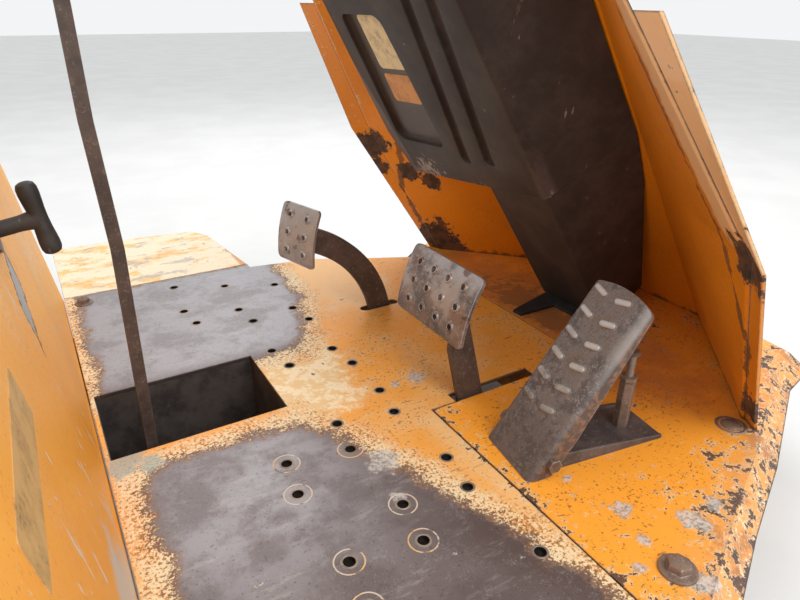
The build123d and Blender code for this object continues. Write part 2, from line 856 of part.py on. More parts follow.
def console_box():
    """Moulded console that fills the cowl's middle: pocket, two flutes and a splayed side."""
    outline = [(-166, beyond / 2), (-387, 371), (-384, 290), (-350, 254), (-300, 0),
               (beyond / 4, 0), (beyond / 4, beyond / 2)]
    body = rear_panel(outline, beyond / 4) - below_box(0) - beside_ridge()
    place = console_place(0, 0, 0)
    body &= cowl_form(console_t + console_gap, 0)
    body -= above_dash(-seat_gap)
    rounded = []
    for edge in body.edges():
        ends = [Plane(place).to_local_coords(edge @ part) for part in (0, 1)]
        on_rear = all(abs(end.Y) < 0.01 for end in ends)
        at_ridge = all(abs(end.X - console_ridge) < 0.01 for end in ends)
        at_foot = all(-340 < end.X and end.Z < box_foot_ridge[1] + 1 for end in ends)
        if on_rear and (at_ridge or at_foot):
            rounded.append(edge)
    body = fillet(rounded, console_edge_r)
    pocket = make_face(Polyline((-268, 579), (-147, 579), (-163, 330), (-325, 316), close=True))
    pocket = fillet(pocket.vertices(), pocket_corner_r)
    pocket = extrude(Rot(90, 0, 0) * pocket, amount=pocket_depth, both=True)
    return body - place * (pocket + flute(-111, 312, 0.22) + flute(-41, 325, 0.19))


def column_cover():
    """Cover between the console and the floor: its foot is narrower than its top."""
    # how far up the slope, right end of the far side, depth
    far_depth = 2 * console_ridge
    far_right = console_ridge + far_depth * tan(radians(console_side_splay))
    top = box_foot_ridge[1] + 0.5 * console_ridge
    low = -20.0
    faces = []
    for along, right, depth in ((low, cover_foot_right, cover_foot_depth),
                                (top, far_right, far_depth)):
        plan = Polyline((-cover_left, 0), (console_ridge, 0), (right, depth), (-cover_left, depth),
                        close=True)
        faces.append(console_place(0, 0, along) * make_face(plan))
    body = loft(faces, ruled=True) & below_box(seat_gap)
    body &= cowl_form(console_t + console_gap, beyond / 4)
    return body - block(-beyond, beyond, -beyond, beyond, -beyond, 0)


def column_gaiter():
    """Rubber flap on the floor behind the column cover."""
    return slab([(687, 35), (787, 62), (793, 62), (793, -45), (768, -45), (766, 15), (689, 16)],
                gaiter_t, gaiter_t)


def column():
    """Steering column tube standing out of the dash, bored for the wheel's shaft."""
    tube = extrude(Circle(column_r) - Circle(wheel_shaft_r + running_gap), amount=column_length)
    return dash_frame() * Pos(0, column_forward, 0) * tube


def wheel_shaft():
    """Shaft of the wheel, running in the column."""
    low = column_length - shaft_in_column
    high = column_length + hub_clearance
    return dash_frame() * Pos(0, column_forward, low) * extrude(
        Circle(wheel_shaft_r), amount=high - low)


def steering_wheel():
    """Rim, three spokes and hub in a plane square to the column."""
    hub_top = column_length + hub_clearance + hub_length
    place = dash_frame() * Pos(0, column_forward, hub_top - hub_length / 4)
    grip = Plane.XZ * Pos(wheel_r, 0) * RegularPolygon(wheel_rim_r, rim_sides)
    wheel = revolve(grip, Axis.Z) + Pos(0, 0, -hub_length / 4) * Cylinder(hub_r, hub_length)
    for i in range(spoke_count):
        angle = 90 + 360 / spoke_count * i
        wheel += Rot(0, 0, angle) * Pos(wheel_r / 2, 0, 0) * Box(wheel_r, spoke_width, spoke_t)
    return place * wheel


def latch_place():
    """On the seat box wall, z square to it and x to the driver's left."""
    lean = radians(wall_lean)
    return Location(Plane(origin=(-latch_z * tan(lean), latch_y, latch_z),
                          x_dir=(0, 1, 0), z_dir=(cos(lean), 0, sin(lean))))


def latch_handle():
    """T handle of the seat box latch: stem through the wall, upright bar, cam inside."""
    stem = Pos(0, 0, -12) * extrude(Circle(latch_stem_r), amount=latch_reach + 12)
    bar = Pos(0, 0, latch_reach) * Rot(0, 0, 90) * extrude(
        SlotOverall(latch_bar, latch_bar_width), amount=latch_bar_width)
    cam = Pos(0, 15, -14) * Box(latch_bar_width, 60, 5)
    return latch_place() * (stem + bar + cam)


def latch_plate():
    """Round plate under the latch handle."""
    ring = Circle(latch_plate_r) - Circle(latch_stem_r + running_gap)
    return latch_place() * Pos(0, 0, seat_gap) * extrude(ring, amount=3)


keep("floor_plate", floor_plate())
keep("front_plate", front_plate())
keep("left_step_plate", step_plate(1, left_seam_y))
keep("right_step_plate", step_plate(-1, right_seam_y))
keep("plate_ledges", ledges())
keep("left_rail", rail(1))
keep("right_rail", rail(-1))
keep("rear_cross_member", cross_member(rail_back_x + member_inset))
keep("middle_cross_member", cross_member(middle_member_x))
keep("front_cross_member", cross_member(deck_length - rail_end_back - member_inset))
keep("left_step_brackets", step_brackets(1, left_seam_y))
keep("right_step_brackets", step_brackets(-1, right_seam_y))
keep("seat_box_wall", seat_wall())
keep("latch_plate", latch_plate())
keep("latch_handle", latch_handle())
keep("pedal_shaft", rod(shaft_x, 0, shaft_z, shaft_r, 2 * rail_y + rail_width + 8, (0, 1, 0)))
keep("clutch_boss", pedal_boss(clutch_y))
keep("clutch_arm", clutch_arm())
keep("clutch_pad", clutch_pad_place() * pad(clutch_pad_width, [
    (u, v) for u in (-30, 0, 30) for v in (-22, 22)]))
keep("brake_boss", pedal_boss(brake_y))
keep("brake_arm", brake_arm())
keep("brake_pad", brake_pad_place() * pad(brake_pad_width, [
    (u, v) for u in (-28, 0, 28) for v in (-51, -17, 17, 51)]))
keep("treadle", treadle())
keep("accelerator_base", accelerator_base())
keep("treadle_pivot_bolt", pivot_bolt())
keep("treadle_stop_screw", stop_screw())
keep("lever_tray", lever_tray())
keep("lever_pin", lever_pin())
keep("range_lever", range_lever())
keep("lever_knob", lever_knob())
keep("console_cowl", cowl())
keep("left_wing_flange", wing_flange(1))
keep("right_wing_flange", wing_flange(-1))
keep("dash_panel", dash_panel())
keep("console_box", console_box())
keep("column_cover", column_cover())
keep("column_gaiter", column_gaiter())
keep("steering_column", column())
keep("wheel_shaft", wheel_shaft())
keep("steering_wheel", steering_wheel())

for name, shape in pieces.items():
    export_step(shape, f"parts/{name}.step")
    print(f"{name}: {shape.volume / 1000:.1f} cm3")
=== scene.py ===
"""Looks of a site dumper's driver's platform: worn plates, pedals, lever and steering console."""

from functools import partial, partialmethod
from math import cos, pi, radians, sin, sqrt, tan

import bmesh
import bpy
from bpy.props import FloatProperty, FloatVectorProperty, IntProperty, PointerProperty
from mathutils import Matrix, Vector


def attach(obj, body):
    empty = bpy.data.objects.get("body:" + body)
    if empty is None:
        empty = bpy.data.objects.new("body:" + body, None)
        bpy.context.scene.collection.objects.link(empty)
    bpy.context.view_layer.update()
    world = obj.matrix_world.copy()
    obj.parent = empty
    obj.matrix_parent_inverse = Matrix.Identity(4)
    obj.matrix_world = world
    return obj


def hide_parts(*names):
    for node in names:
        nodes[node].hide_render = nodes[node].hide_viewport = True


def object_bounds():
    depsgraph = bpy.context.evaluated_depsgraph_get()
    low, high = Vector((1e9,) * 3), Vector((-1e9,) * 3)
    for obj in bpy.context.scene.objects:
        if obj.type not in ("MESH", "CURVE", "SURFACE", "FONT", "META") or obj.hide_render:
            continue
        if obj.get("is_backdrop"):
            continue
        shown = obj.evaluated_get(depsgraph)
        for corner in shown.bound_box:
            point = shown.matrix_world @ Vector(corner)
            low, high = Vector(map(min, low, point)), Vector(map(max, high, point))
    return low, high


bl_info = {
    "name": "Dumper driver's platform",
    "version": (1, 0, 0),
    "blender": (4, 5, 0),
    "location": "View3D > Sidebar > Platform",
    "description": "Finishes and small pieces for a site dumper's driver's platform",
    "category": "Object",
}

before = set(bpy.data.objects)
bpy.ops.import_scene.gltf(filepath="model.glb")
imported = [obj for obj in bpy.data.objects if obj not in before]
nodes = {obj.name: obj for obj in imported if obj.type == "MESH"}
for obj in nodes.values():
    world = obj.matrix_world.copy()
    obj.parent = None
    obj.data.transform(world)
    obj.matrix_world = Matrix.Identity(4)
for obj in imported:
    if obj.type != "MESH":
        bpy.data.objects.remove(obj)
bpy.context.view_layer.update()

# The deck's own measures, in metres: the seat wall's foot and the floor's top in the frame
FOOT_X = -0.4
FLOOR_Z = 0.106


def deck(x, y, z=0):
    """A point in millimetres ahead of the seat wall's foot, to the left and above the floor."""
    return Vector((FOOT_X + x / 1000, y / 1000, FLOOR_Z + z / 1000))


def on_deck(x, y, z=0, turn=0):
    """A place on the deck, turned about the upright."""
    return Matrix.Translation(deck(x, y, z)) @ Matrix.Rotation(turn, 4, "Z")


def moved(place, x=0, y=0, z=0):
    """A place shifted by millimetres along its own axes."""
    return place @ Matrix.Translation((x / 1000, y / 1000, z / 1000))


def tilted(origin, x_axis, z_axis):
    """A matrix with this origin, x axis and z axis."""
    axes = Vector(x_axis), Vector(z_axis).cross(Vector(x_axis)), Vector(z_axis)
    return Matrix.Translation(origin) @ Matrix(axes).transposed().to_4x4()


# The console's rear face leans back from a foot 798 mm ahead of the wall, the wall from its own
LEAN = radians(34)
WALL_LEAN = radians(9)
console_face = tilted(deck(798, 0), (0, -1, 0), (-sin(LEAN), 0, cos(LEAN)))
dash = moved(console_face, z=600 / cos(LEAN))
column_top = moved(dash, y=60, z=142)
wall_face = tilted(deck(0, 0), (0, 1, 0), (-sin(WALL_LEAN), 0, cos(WALL_LEAN)))


def linear(tone):
    """A screen colour, a tuple of 0 to 255, as scene-linear values. Any other colour is so already."""
    if not isinstance(tone, tuple):
        return tone
    return [c / 3294.6 if c <= 10 else ((c / 255 + 0.055) / 1.055) ** 2.4 for c in tone]


class Shade:
    """A socket that adds its maths nodes when it takes part in a sum."""

    def __init__(self, owner, socket):
        self.owner = owner
        self.socket = socket

    def maths(self, operation, *others):
        return self.owner.node("Math", {"operation": operation}, (self, *others))

    def __rsub__(self, other):
        return self.owner.node("Math", {"operation": "SUBTRACT"}, (other, self))

    __add__ = __radd__ = partialmethod(maths, "ADD")
    __sub__ = partialmethod(maths, "SUBTRACT")
    __mul__ = __rmul__ = partialmethod(maths, "MULTIPLY")
    __truediv__ = partialmethod(maths, "DIVIDE")
    __pow__ = partialmethod(maths, "POWER")
    __abs__ = partialmethod(maths, "ABSOLUTE")
    most = partialmethod(maths, "MAXIMUM")
    least = partialmethod(maths, "MINIMUM")


class Nodes:
    """A node tree that is filled through one method."""

    def __init__(self, tree):
        self.tree = tree
        tree.nodes.clear()

    def node(self, kind, settings=None, values=None, out=0):
        """Adds one shader node: its settings first, then the values or links of its sockets."""
        made = self.tree.nodes.new("ShaderNode" + kind)
        for name, value in (settings or {}).items():
            setattr(made, name, value)
        pairs = values.items() if isinstance(values, dict) else enumerate(values or ())
        for key, value in pairs:
            socket = made.inputs[key]
            if isinstance(value, Shade):
                self.tree.links.new(value.socket, socket)
            elif socket.type == "RGBA":
                socket.default_value = (*value[:3], 1)
            else:
                socket.default_value = value
        return Shade(self, made.outputs[out]) if made.outputs else None


class Finish(Nodes):
    """A material laid up in coats, on object coordinates in metres from the seat wall's foot."""

    def __init__(self, name, tone, rough=0.5, metal=0, rounding=0.002):
        self.material = bpy.data.materials.new(name + "_finish")
        self.material.use_nodes = True
        super().__init__(self.material.node_tree)
        place = self.node("TexCoord", out="Object")
        self.at = self.node("Mapping", {}, {"Vector": place, "Location": (-FOOT_X, 0, -FLOOR_Z)})
        self.tone = linear(tone)
        self.rough = rough
        self.metal = metal
        self.height = None
        self.rounded = None
        self.edge = 0
        if rounding:
            self.rounded = self.node("Bevel", {"samples": 4}, {"Radius": rounding})
            flat = self.node("NewGeometry", out="True Normal")
            self.edge = 1 - self.vector("DOT_PRODUCT", self.rounded, flat, "Value")

    def vector(self, operation, first, second=(0, 0, 0), out=0):
        return self.node("VectorMath", {"operation": operation}, [first, second], out)

    def noise(self, scale, detail=4, roughness=0.55, seed=0, at=None):
        moved = self.vector("ADD", at or self.at, (seed, 0.37 * seed, -0.61 * seed))
        return self.node("TexNoise", {}, {
            "Vector": moved, "Scale": scale, "Detail": detail, "Roughness": roughness}, "Fac")

    def soft(self, value, low, high):
        """0 below low, 1 above high, with a smooth step between them."""
        return self.node("MapRange", {"interpolation_type": "SMOOTHSTEP"}, {
            "Value": value, "From Min": low, "From Max": high})

    def blend(self, first, second, share):
        """A colour that goes from first to second."""
        return self.node("Mix", {"data_type": "RGBA"},
                         {0: share, 6: linear(first), 7: linear(second)}, 2)

    def between(self, first, second, share):
        """A number that goes from first to second."""
        return self.node("Mix", {"data_type": "FLOAT"}, {0: share, 2: first, 3: second})

    def stretched(self, scale, turn=(0, 0, 0)):
        """The coordinates scaled along each axis, for streaks and scratches."""
        return self.node("Mapping", {}, {"Vector": self.at, "Scale": scale, "Rotation": turn})

    def patch(self, centre, reach):
        """1 at a patch's centre, 0 on its rounded border, below 0 outside, in metres."""
        away = self.vector("DIVIDE", self.vector("SUBTRACT", self.at, centre), reach)
        parts = self.node("SeparateXYZ", {}, [away]).socket.node
        total = 0
        for output in parts.outputs:
            part = Shade(self, output)
            total = (part * part) ** 2 + total
        return 1 - total ** 0.25

    def along(self, direction, at=None):
        """How far a point, or the surface, lies along a direction, in metres."""
        return self.vector("DOT_PRODUCT", at or self.at, direction, "Value")

    def beyond(self, point, direction):
        """How far in metres the surface lies past a point in millimetres along a direction."""
        point = [c / 1000 for c in point]
        return self.along(direction, self.vector("SUBTRACT", self.at, point))

    def inside(self, sides, rounding=0.05):
        """How deep a point lies inside straight sides: x, y in millimetres, the way in in degrees."""
        depth = None
        for x, y, way in sides:
            side = self.beyond((x, y, 0), (cos(radians(way)), sin(radians(way)), 0))
            depth = side if depth is None else depth.maths("SMOOTH_MIN", side, rounding)
        return depth

    def spots(self, places):
        """1 in the middle of each place x, y, z, radius in millimetres, 0 on its rim, less beyond."""
        nearest = None
        for x, y, z, radius in places:
            middle = [c / 1000 for c in (x, y, z)]
            near = 1 - self.vector("DISTANCE", self.at, middle, "Value") / (radius / 1000)
            nearest = near if nearest is None else near.most(nearest)
        return nearest

    def lay(self, tone, share, rough=None, metal=None, height=None):
        """Lays a coat over the part that share gives: its colour, gloss, metal and height."""
        self.tone = self.blend(self.tone, tone, share)
        if rough is not None:
            self.rough = self.between(self.rough, rough, share)
        if metal is not None:
            self.metal = self.between(self.metal, metal, share)
        if height is not None:
            self.lift(share * height)

    def lift(self, amount):
        self.height = amount if self.height is None else self.height + amount

    def done(self, depth=0.0005, coat=0, specular=0.5):
        """Ends the material: one Principled shader with bump over rounded edges."""
        values = {"Base Color": self.tone, "Roughness": self.rough, "Metallic": self.metal,
                  "Coat Weight": coat, "Specular IOR Level": specular}
        if self.rounded:
            values["Normal"] = self.rounded
        if self.height is not None:
            bump = {"Height": self.height, "Distance": depth, "Strength": 1}
            if self.rounded:
                bump["Normal"] = self.rounded
            values["Normal"] = self.node("Bump", {}, bump)
        shader = self.node("BsdfPrincipled", {}, values)
        self.node("OutputMaterial", {}, {"Surface": shader})
        return self.material


Tint = partial(FloatVectorProperty, subtype="COLOR", size=3, min=0, max=1)
Share = partial(FloatProperty, subtype="FACTOR", min=0, max=1)
Length = partial(FloatProperty, unit="LENGTH")


class PaintSettings(bpy.types.PropertyGroup):
    """Colours and wear of the painted steel"""

    orange: Tint(
        name="Deck paint", description="Sound paint on the deck", default=linear((250, 170, 66)))
    orange_deep: Tint(
        name="Console paint", description="Paint on the console's wings",
        default=linear((246, 150, 6)))
    faded: Tint(
        name="Faded paint", description="Bleached and rubbed paint",
        default=linear((244, 200, 142)))
    primer: Tint(
        name="Primer", description="Cream undercoat round the worn places",
        default=linear((236, 216, 176)))
    rust: Tint(
        name="Rust", description="Rusted chips and seams", default=linear((112, 76, 54)))
    chips: Share(name="Chips", description="How much of the paint is chipped", default=0.5)
    grime: Share(name="Grime", description="How much dirt lies on the paint", default=0.5)


class DeckSettings(bpy.types.PropertyGroup):
    """Sizes of the small pieces on the deck"""

    hole: Length(
        name="Drain hole", description="Radius of the punched drain holes", min=0.002,
        default=0.0065)
    ring: Length(
        name="Pressed ring", description="Radius of the ring pressed round a drain hole",
        min=0.004, default=0.0158)
    bolt: Length(
        name="Bolt head", description="Width across the flats of the deck bolts", min=0.005,
        default=0.021)
    washer: Length(
        name="Washer", description="Radius of the washers under the deck bolts", min=0.005,
        default=0.019)
    bead: Length(
        name="Weld bead", description="Radius of the weld beads", min=0.001, default=0.003)


class ConsoleSettings(bpy.types.PropertyGroup):
    """Sizes of the console and the steering wheel"""

    rounding: Length(
        name="Moulding radius", description="Radius of the moulded console's edges", min=0.001,
        default=0.004)
    label: Length(
        name="Plate thickness", description="Thickness of the blank stuck-on plates",
        min=0.0002, default=0.0006)
    rim: Length(
        name="Wheel radius", description="Radius of the wheel to its rim's middle", min=0.1,
        default=0.19)
    grip: Length(
        name="Rim thickness", description="Radius of the wheel's rim", min=0.005,
        default=0.0125)
    spokes: IntProperty(
        name="Spokes", description="How many spokes the wheel has", min=2, max=6, default=3)


class StudioSettings(bpy.types.PropertyGroup):
    """Light and camera"""

    sky: FloatProperty(
        name="Sky", description="Strength of the even light from all round", min=0,
        default=0.9)
    key: FloatProperty(
        name="Key lamp", description="Power of the large soft lamp", unit="POWER", min=0,
        default=71)
    fill: FloatProperty(
        name="Fill lamp", description="Power of the lamp on the other side", unit="POWER",
        min=0, default=34)
    lens: FloatProperty(
        name="Lens", description="Focal length of the camera in millimetres", min=10,
        default=28.057)


def paint():
    """The colours and wear that the panel holds."""
    return bpy.context.scene.platform_paint


# Finishes

def painted(name, tone, seed, chips=0.5, grime=0.5, fade=0.35, flecks=1, rounding=0.003):
    """Paint with bleached areas, stains and pores; its chips are laid by chipped."""
    f = Finish(name, tone, 0.42, rounding=rounding)
    f.broad = f.noise(3.1, 3, seed=seed)
    f.cloudy = f.noise(16, 6, 0.64, seed=seed + 1)
    f.fine = f.noise(62, 6, 0.68, seed=seed + 2)
    f.speck = f.noise(260, 3, 0.6, seed=seed + 3)
    f.rough = 0.4 + 0.22 * f.fine
    f.lay([0.9 * c for c in linear(tone)], f.soft(f.broad, 0.38, 0.62))
    bleach = f.soft(f.broad * 0.5 + f.cloudy * 0.5, 0.62 - 0.32 * fade, 0.76 - 0.3 * fade)
    f.lay(paint().faded, bleach * fade)
    dirt = f.soft(f.cloudy * 0.7 + f.fine * 0.3, 0.62 - 0.12 * grime, 0.8 - 0.12 * grime)
    f.lay((176, 122, 72), dirt * (0.15 + 0.5 * grime), 0.6)
    pores = f.soft(f.speck * 0.75 + f.cloudy * 0.25, 0.575, 0.625)
    f.lay((126, 84, 50), pores * 0.75 * flecks)
    scratched = f.stretched((0.3, 1.3, 1), (0, 0, 0.4))
    nick = f.soft(f.noise(120, 3, 0.55, seed + 4, scratched), 0.66, 0.69)
    f.lay((118, 80, 56), nick * 0.65 * flecks)
    f.lift(f.fine * 0.25 + f.speck * 0.12)
    f.chips = 0.66 - 0.09 * chips
    return f


def chipped(f, more=0):
    """Chips through the primer to rust, mostly on edges and where more is high."""
    chip = f.fine * 0.6 + f.speck * 0.18 + f.cloudy * 0.22 + f.edge * 0.5 + more
    undercoat = f.soft(chip, f.chips - 0.035, f.chips - 0.012)
    rusty = f.soft(chip, f.chips, f.chips + 0.02)
    f.lay(paint().primer, undercoat * 0.5, 0.6, height=-0.24)
    rust = f.blend(paint().rust, (78, 58, 50), f.soft(f.speck * 0.5 + f.cloudy * 0.5, 0.44, 0.58))
    rust = f.blend(rust, (150, 132, 122), f.soft(f.speck, 0.56, 0.66) * 0.45)
    f.lay(rust, rusty, 0.62, height=-0.36)


def splats(f, places, seed):
    """Dried grey mud and lime splats at places, and a few small ones anywhere."""
    mud = f.noise(60, 6, 0.66, seed)
    here = f.spots(places) + (mud - 0.5) * 2.6 + (f.speck - 0.5) * 0.9
    splat = f.soft(here, 0, 0.4).most(f.soft(f.noise(34, 5, 0.6, seed + 1), 0.7, 0.72))
    grain = f.soft(f.noise(240, 4, 0.6, seed + 2), 0.42, 0.6)
    f.lay(f.blend((206, 202, 196), (150, 142, 134), grain), splat * 0.8, 0.8, height=0.7)


def worn_through(f, depth, light=0):
    """Paint rubbed to steel where depth is above 0 metres, inside a speckled cream border; light
    paints a sky reflection on the steel.
    """
    grain = f.noise(560, 2, 0.5, 3.3)
    ragged = depth + (f.cloudy - 0.5) * 0.06 + (f.fine - 0.5) * 0.036
    dotted = ragged + (f.speck - 0.5) * 0.034 + (grain - 0.5) * 0.034
    halo = f.soft(dotted, -0.0432, -0.024)
    cream = f.blend(paint().primer, (232, 166, 92),
                    f.soft(f.speck * 0.4 + grain * 0.3 + f.cloudy * 0.3, 0.48, 0.53))
    f.lay(cream, halo * 0.92, 0.6, height=-0.4)
    flecks = f.soft(dotted * 4 + (f.speck - 0.5) * 1.4, -0.02, 0.1) * halo
    f.lay((140, 98, 66), flecks * 0.75, 0.6)
    f.lay((118, 86, 68), f.soft(dotted, -0.0096, 0.0016) * 0.9, 0.6)
    bare = f.soft(ragged + (f.speck - 0.5) * 0.014, 0, 0.014)
    grey = f.blend((102, 86, 82), (124, 113, 111), f.soft(ragged, 0.01, 0.07))
    # painted sky reflection: the steel paler and bluer where light is high
    grey = f.blend(grey, (168, 166, 171), light * 0.85)
    cloud = f.soft(f.cloudy * 0.6 + f.fine * 0.2 + f.broad * 0.2, 0.46, 0.58)
    grey = f.blend(grey, (98, 88, 85), cloud * 0.42)
    grey = f.blend(grey, (184, 181, 180), f.soft(f.fine * 0.5 + grain * 0.5, 0.53, 0.64) * 0.35)
    grey = f.blend(grey, (66, 54, 50), f.soft(f.speck, 0.61, 0.68) * 0.5)
    f.lay(grey, bare, 0.3 + 0.22 * f.fine, 0.25, height=-0.3)
    return bare


def worn_deck_paint():
    """The lift-out plate: two large patches rubbed to steel, lightened in places as a painted sky
    reflection, and a bleached strip between.
    """
    f = painted("worn_deck_paint", paint().orange, 0, paint().chips, paint().grime, 0.45)
    pale = f.inside(((330, 300, 30), (500, 160, 100), (560, 300, 180)), 0.1)
    pale = pale + (f.cloudy - 0.5) * 0.24
    f.lay(paint().faded, f.soft(pale, -0.03, 0.06) * 0.75)
    seam = 1 - f.soft(abs(f.beyond((399, -300, 0), (1, 0, 0))), 0, 0.05)
    near_seam = seam * f.soft(f.beyond((0, -130, 0), (0, -1, 0)), 0, 0.03)
    f.lay(paint().faded, near_seam * 0.6)
    strip = f.inside(((228, 0, 0), (280, -75, 90), (332, 0, 172), (280, 150, 250)))
    strip = strip + (f.cloudy - 0.5) * 0.07 + (f.speck - 0.5) * 0.05 + (f.fine - 0.5) * 0.05
    chalk = f.blend((238, 206, 152), (252, 234, 196), f.soft(f.fine, 0.44, 0.56))
    f.lay(chalk, f.soft(strip, -0.02, 0.008) * 0.9, 0.6)
    chipped(f, near_seam * 0.05)
    near = f.inside(((34, -200, 0), (150, -72, 270), (274, -145, 209),
                     (330, -280, 196.7), (200, -530, 90)))
    far = f.inside(((18, 300, 0), (200, 100, 90), (322, 128, 157.5), (388, 350, 180),
                    (200, 486, 270)))
    # painted sky reflection: the bare steel turns pale blue-grey at the near left and over all of the
    # far patch
    shine = f.soft(f.patch((0.1, -0.16, 0), (0.3, 0.26, 1)) + (f.broad - 0.5) * 0.9, 0.05, 0.9)
    shine = shine.most(f.soft(f.beyond((0, 100, 0), (0, 1, 0)), 0, 0.05))
    bare = worn_through(f, near.most(far), shine)
    brushed = f.noise(30, 6, 0.72, 9, f.stretched((0.5, 2, 1), (0, 0, 0.5)))
    f.lay((196, 190, 184), f.soft(brushed, 0.56, 0.68) * bare * 0.35, 0.5)
    trodden = f.soft(f.beyond((0, -20, 0), (0, -1, 0)), 0, 0.05) * bare
    f.lay((92, 76, 72), trodden * (0.16 + f.soft(f.cloudy, 0.4, 0.62) * 0.24), 0.55)
    smear = f.spots(((20, -50, 0, 30), (48, -62, 0, 22)))
    f.lay((150, 168, 164), f.soft(smear + (f.fine - 0.5) * 1.6, 0.1, 0.5) * 0.7, 0.6)
    splats(f, ((424, -58, 0, 20), (386, -60, 0, 10), (290, -197, 0, 22), (275, -258, 0, 10),
               (362, 30, 0, 9)), 7)
    below = f.soft(f.beyond((0, 0, 0), (0, 0, -1)), 0.0004, 0.0016)
    f.lay((60, 46, 40), below * 0.9, 0.8)
    return f.done(0.0006)


def deck_paint():
    """The fixed front plate: sounder paint, chipped seams, mud and rust by the console, darkened there
    with painted shade.
    """
    f = painted("deck_paint", (252, 166, 52), 11, paint().chips + 0.1, paint().grime, 0.3)
    # the plate's outer fold and its two seams, as a point and a direction inward
    outer = f.beyond((399, -547, 0), (-0.418, 0.908, 0))
    seam = f.beyond((400, -500, 0), (1, 0, 0))
    slot = abs(f.beyond((540, -141, 0), (0, 1, 0)))
    pale = 1 - f.soft(outer + (f.cloudy - 0.5) * 0.08, -0.03, 0.05)
    f.lay((222, 150, 92), pale * 0.6)
    f.lay((158, 98, 60), pale * f.soft(f.noise(20, 6, 0.7, 13), 0.46, 0.58) * 0.75, 0.6)
    f.lay((244, 226, 196), pale * f.soft(f.noise(70, 5, 0.7, 15), 0.58, 0.62) * 0.8, 0.6)
    stain = f.soft(f.spots(((650, -400, 0, 60), (560, -440, 0, 50))), 0, 0.9)
    band = (1 - f.soft(outer, 0, 0.06)) * 0.082
    band = band.most((1 - f.soft(seam, 0, 0.035)) * 0.08)
    band = band.most((1 - f.soft(slot, 0, 0.03)) * 0.06).most(stain * 0.1)
    chipped(f, band)
    # darker brown under the console: partly rust and mud, partly painted shade of the console and its
    # wings
    under = f.patch((0.74, 0.02, 0), (0.1, 0.36, 1)) + (f.noise(13, 6, 0.7, 14) - 0.5) * 1.3
    f.lay((206, 128, 64), f.soft(under, -0.1, 0.4) * 0.8, 0.6)
    f.lay((120, 80, 54), f.soft(under + (f.fine - 0.5) * 1.5, 0.45, 0.75) * 0.6, 0.6)
    splats(f, ((477, -395, 0, 15), (533, -448, 0, 18), (573, -446, 0, 14), (465, -440, 0, 9),
               (462, -331, 0, 8), (472, -506, 0, 16), (432, -462, 0, 9)), 17)
    below = f.soft(f.beyond((0, 0, 0), (0, 0, -1)), 0.0004, 0.0016) * f.soft(outer, 0.002, 0.006)
    f.lay((60, 46, 40), below * 0.9, 0.8)
    return f.done(0.0008, coat=0.08)


def step_paint():
    """The step plates: bleached, streaked paint under grey wear."""
    f = painted("step_paint", (240, 190, 112), 21, paint().chips, 0.3, 0.6)
    chalk = f.noise(12, 6, 0.7, 25, f.stretched((0.7, 1.4, 1)))
    f.lay((244, 230, 202), f.soft(chalk, 0.38, 0.5) * 0.9, 0.65)
    yellow = f.noise(15, 6, 0.7, 29, f.stretched((0.6, 1.5, 1)))
    f.lay((242, 188, 96), f.soft(yellow, 0.55, 0.6) * 0.85)
    grey = f.noise(18, 6, 0.75, 27, f.stretched((0.7, 1.5, 1)))
    f.lay((170, 166, 164), f.soft(grey, 0.55, 0.61) * 0.7, 0.55)
    end = f.soft(f.beyond((331, 0, 0), (1, 0, 0)) + (f.fine - 0.5) * 0.02, 0, 0.006)
    f.lay((216, 142, 70), end * 0.85)
    chipped(f, end * 0.03)
    return f.done(0.0006)


def seat_wall_paint():
    """The seat box wall: light orange, scratched white and grey by boots."""
    f = painted("seat_wall_paint", (252, 178, 74), 31, paint().chips - 0.2, 0.25, 0.4, 0.5)
    low = f.beyond((0, 0, 300), (0, -0.35, -1)) + (f.cloudy - 0.5) * 0.3
    f.lay((246, 156, 32), f.soft(low, 0.05, 0.3) * 0.6, 0.45)
    long_marks = f.noise(34, 4, 0.6, 33, f.stretched((1, 1.4, 0.3), (0.3, 0, 0)))
    short_marks = f.noise(60, 3, 0.6, 34, f.stretched((1, 1.3, 0.4), (0.45, 0, 0)))
    where = f.soft(f.noise(5, 4, 0.6, 35), 0.4, 0.58)
    marks = (f.soft(long_marks, 0.64, 0.67) * where).most(f.soft(short_marks, 0.655, 0.68) * where)
    f.lay((214, 206, 196), marks * 0.85, 0.6, height=-0.4)
    foot = f.patch((-0.01, -0.4, 0.02), (1, 0.3, 0.08)) + (f.cloudy - 0.5) * 1.4
    f.lay((204, 198, 186), f.soft(foot, 0.15, 0.5) * 0.85, 0.6)
    chipped(f)
    # a torn strip runs down beside the latch
    torn = f.inside(((0, 16, 270), (0, -64, 90)), 0.01)
    middle = f.beyond((0, -22, 226), (0, -0.52, 0.854))
    ragged = (f.cloudy - 0.5) * 0.03 + (f.fine - 0.5) * 0.024
    torn = torn.least(0.023 - abs(middle + (f.cloudy - 0.5) * 0.02)) + ragged
    f.lay((84, 62, 46), f.soft(torn, -0.001, 0.002) * 0.9, 0.7, height=-0.8)
    f.lay((172, 172, 174), f.soft(torn + (f.speck - 0.5) * 0.012, 0.003, 0.006), 0.6)
    return f.done(0.0005)


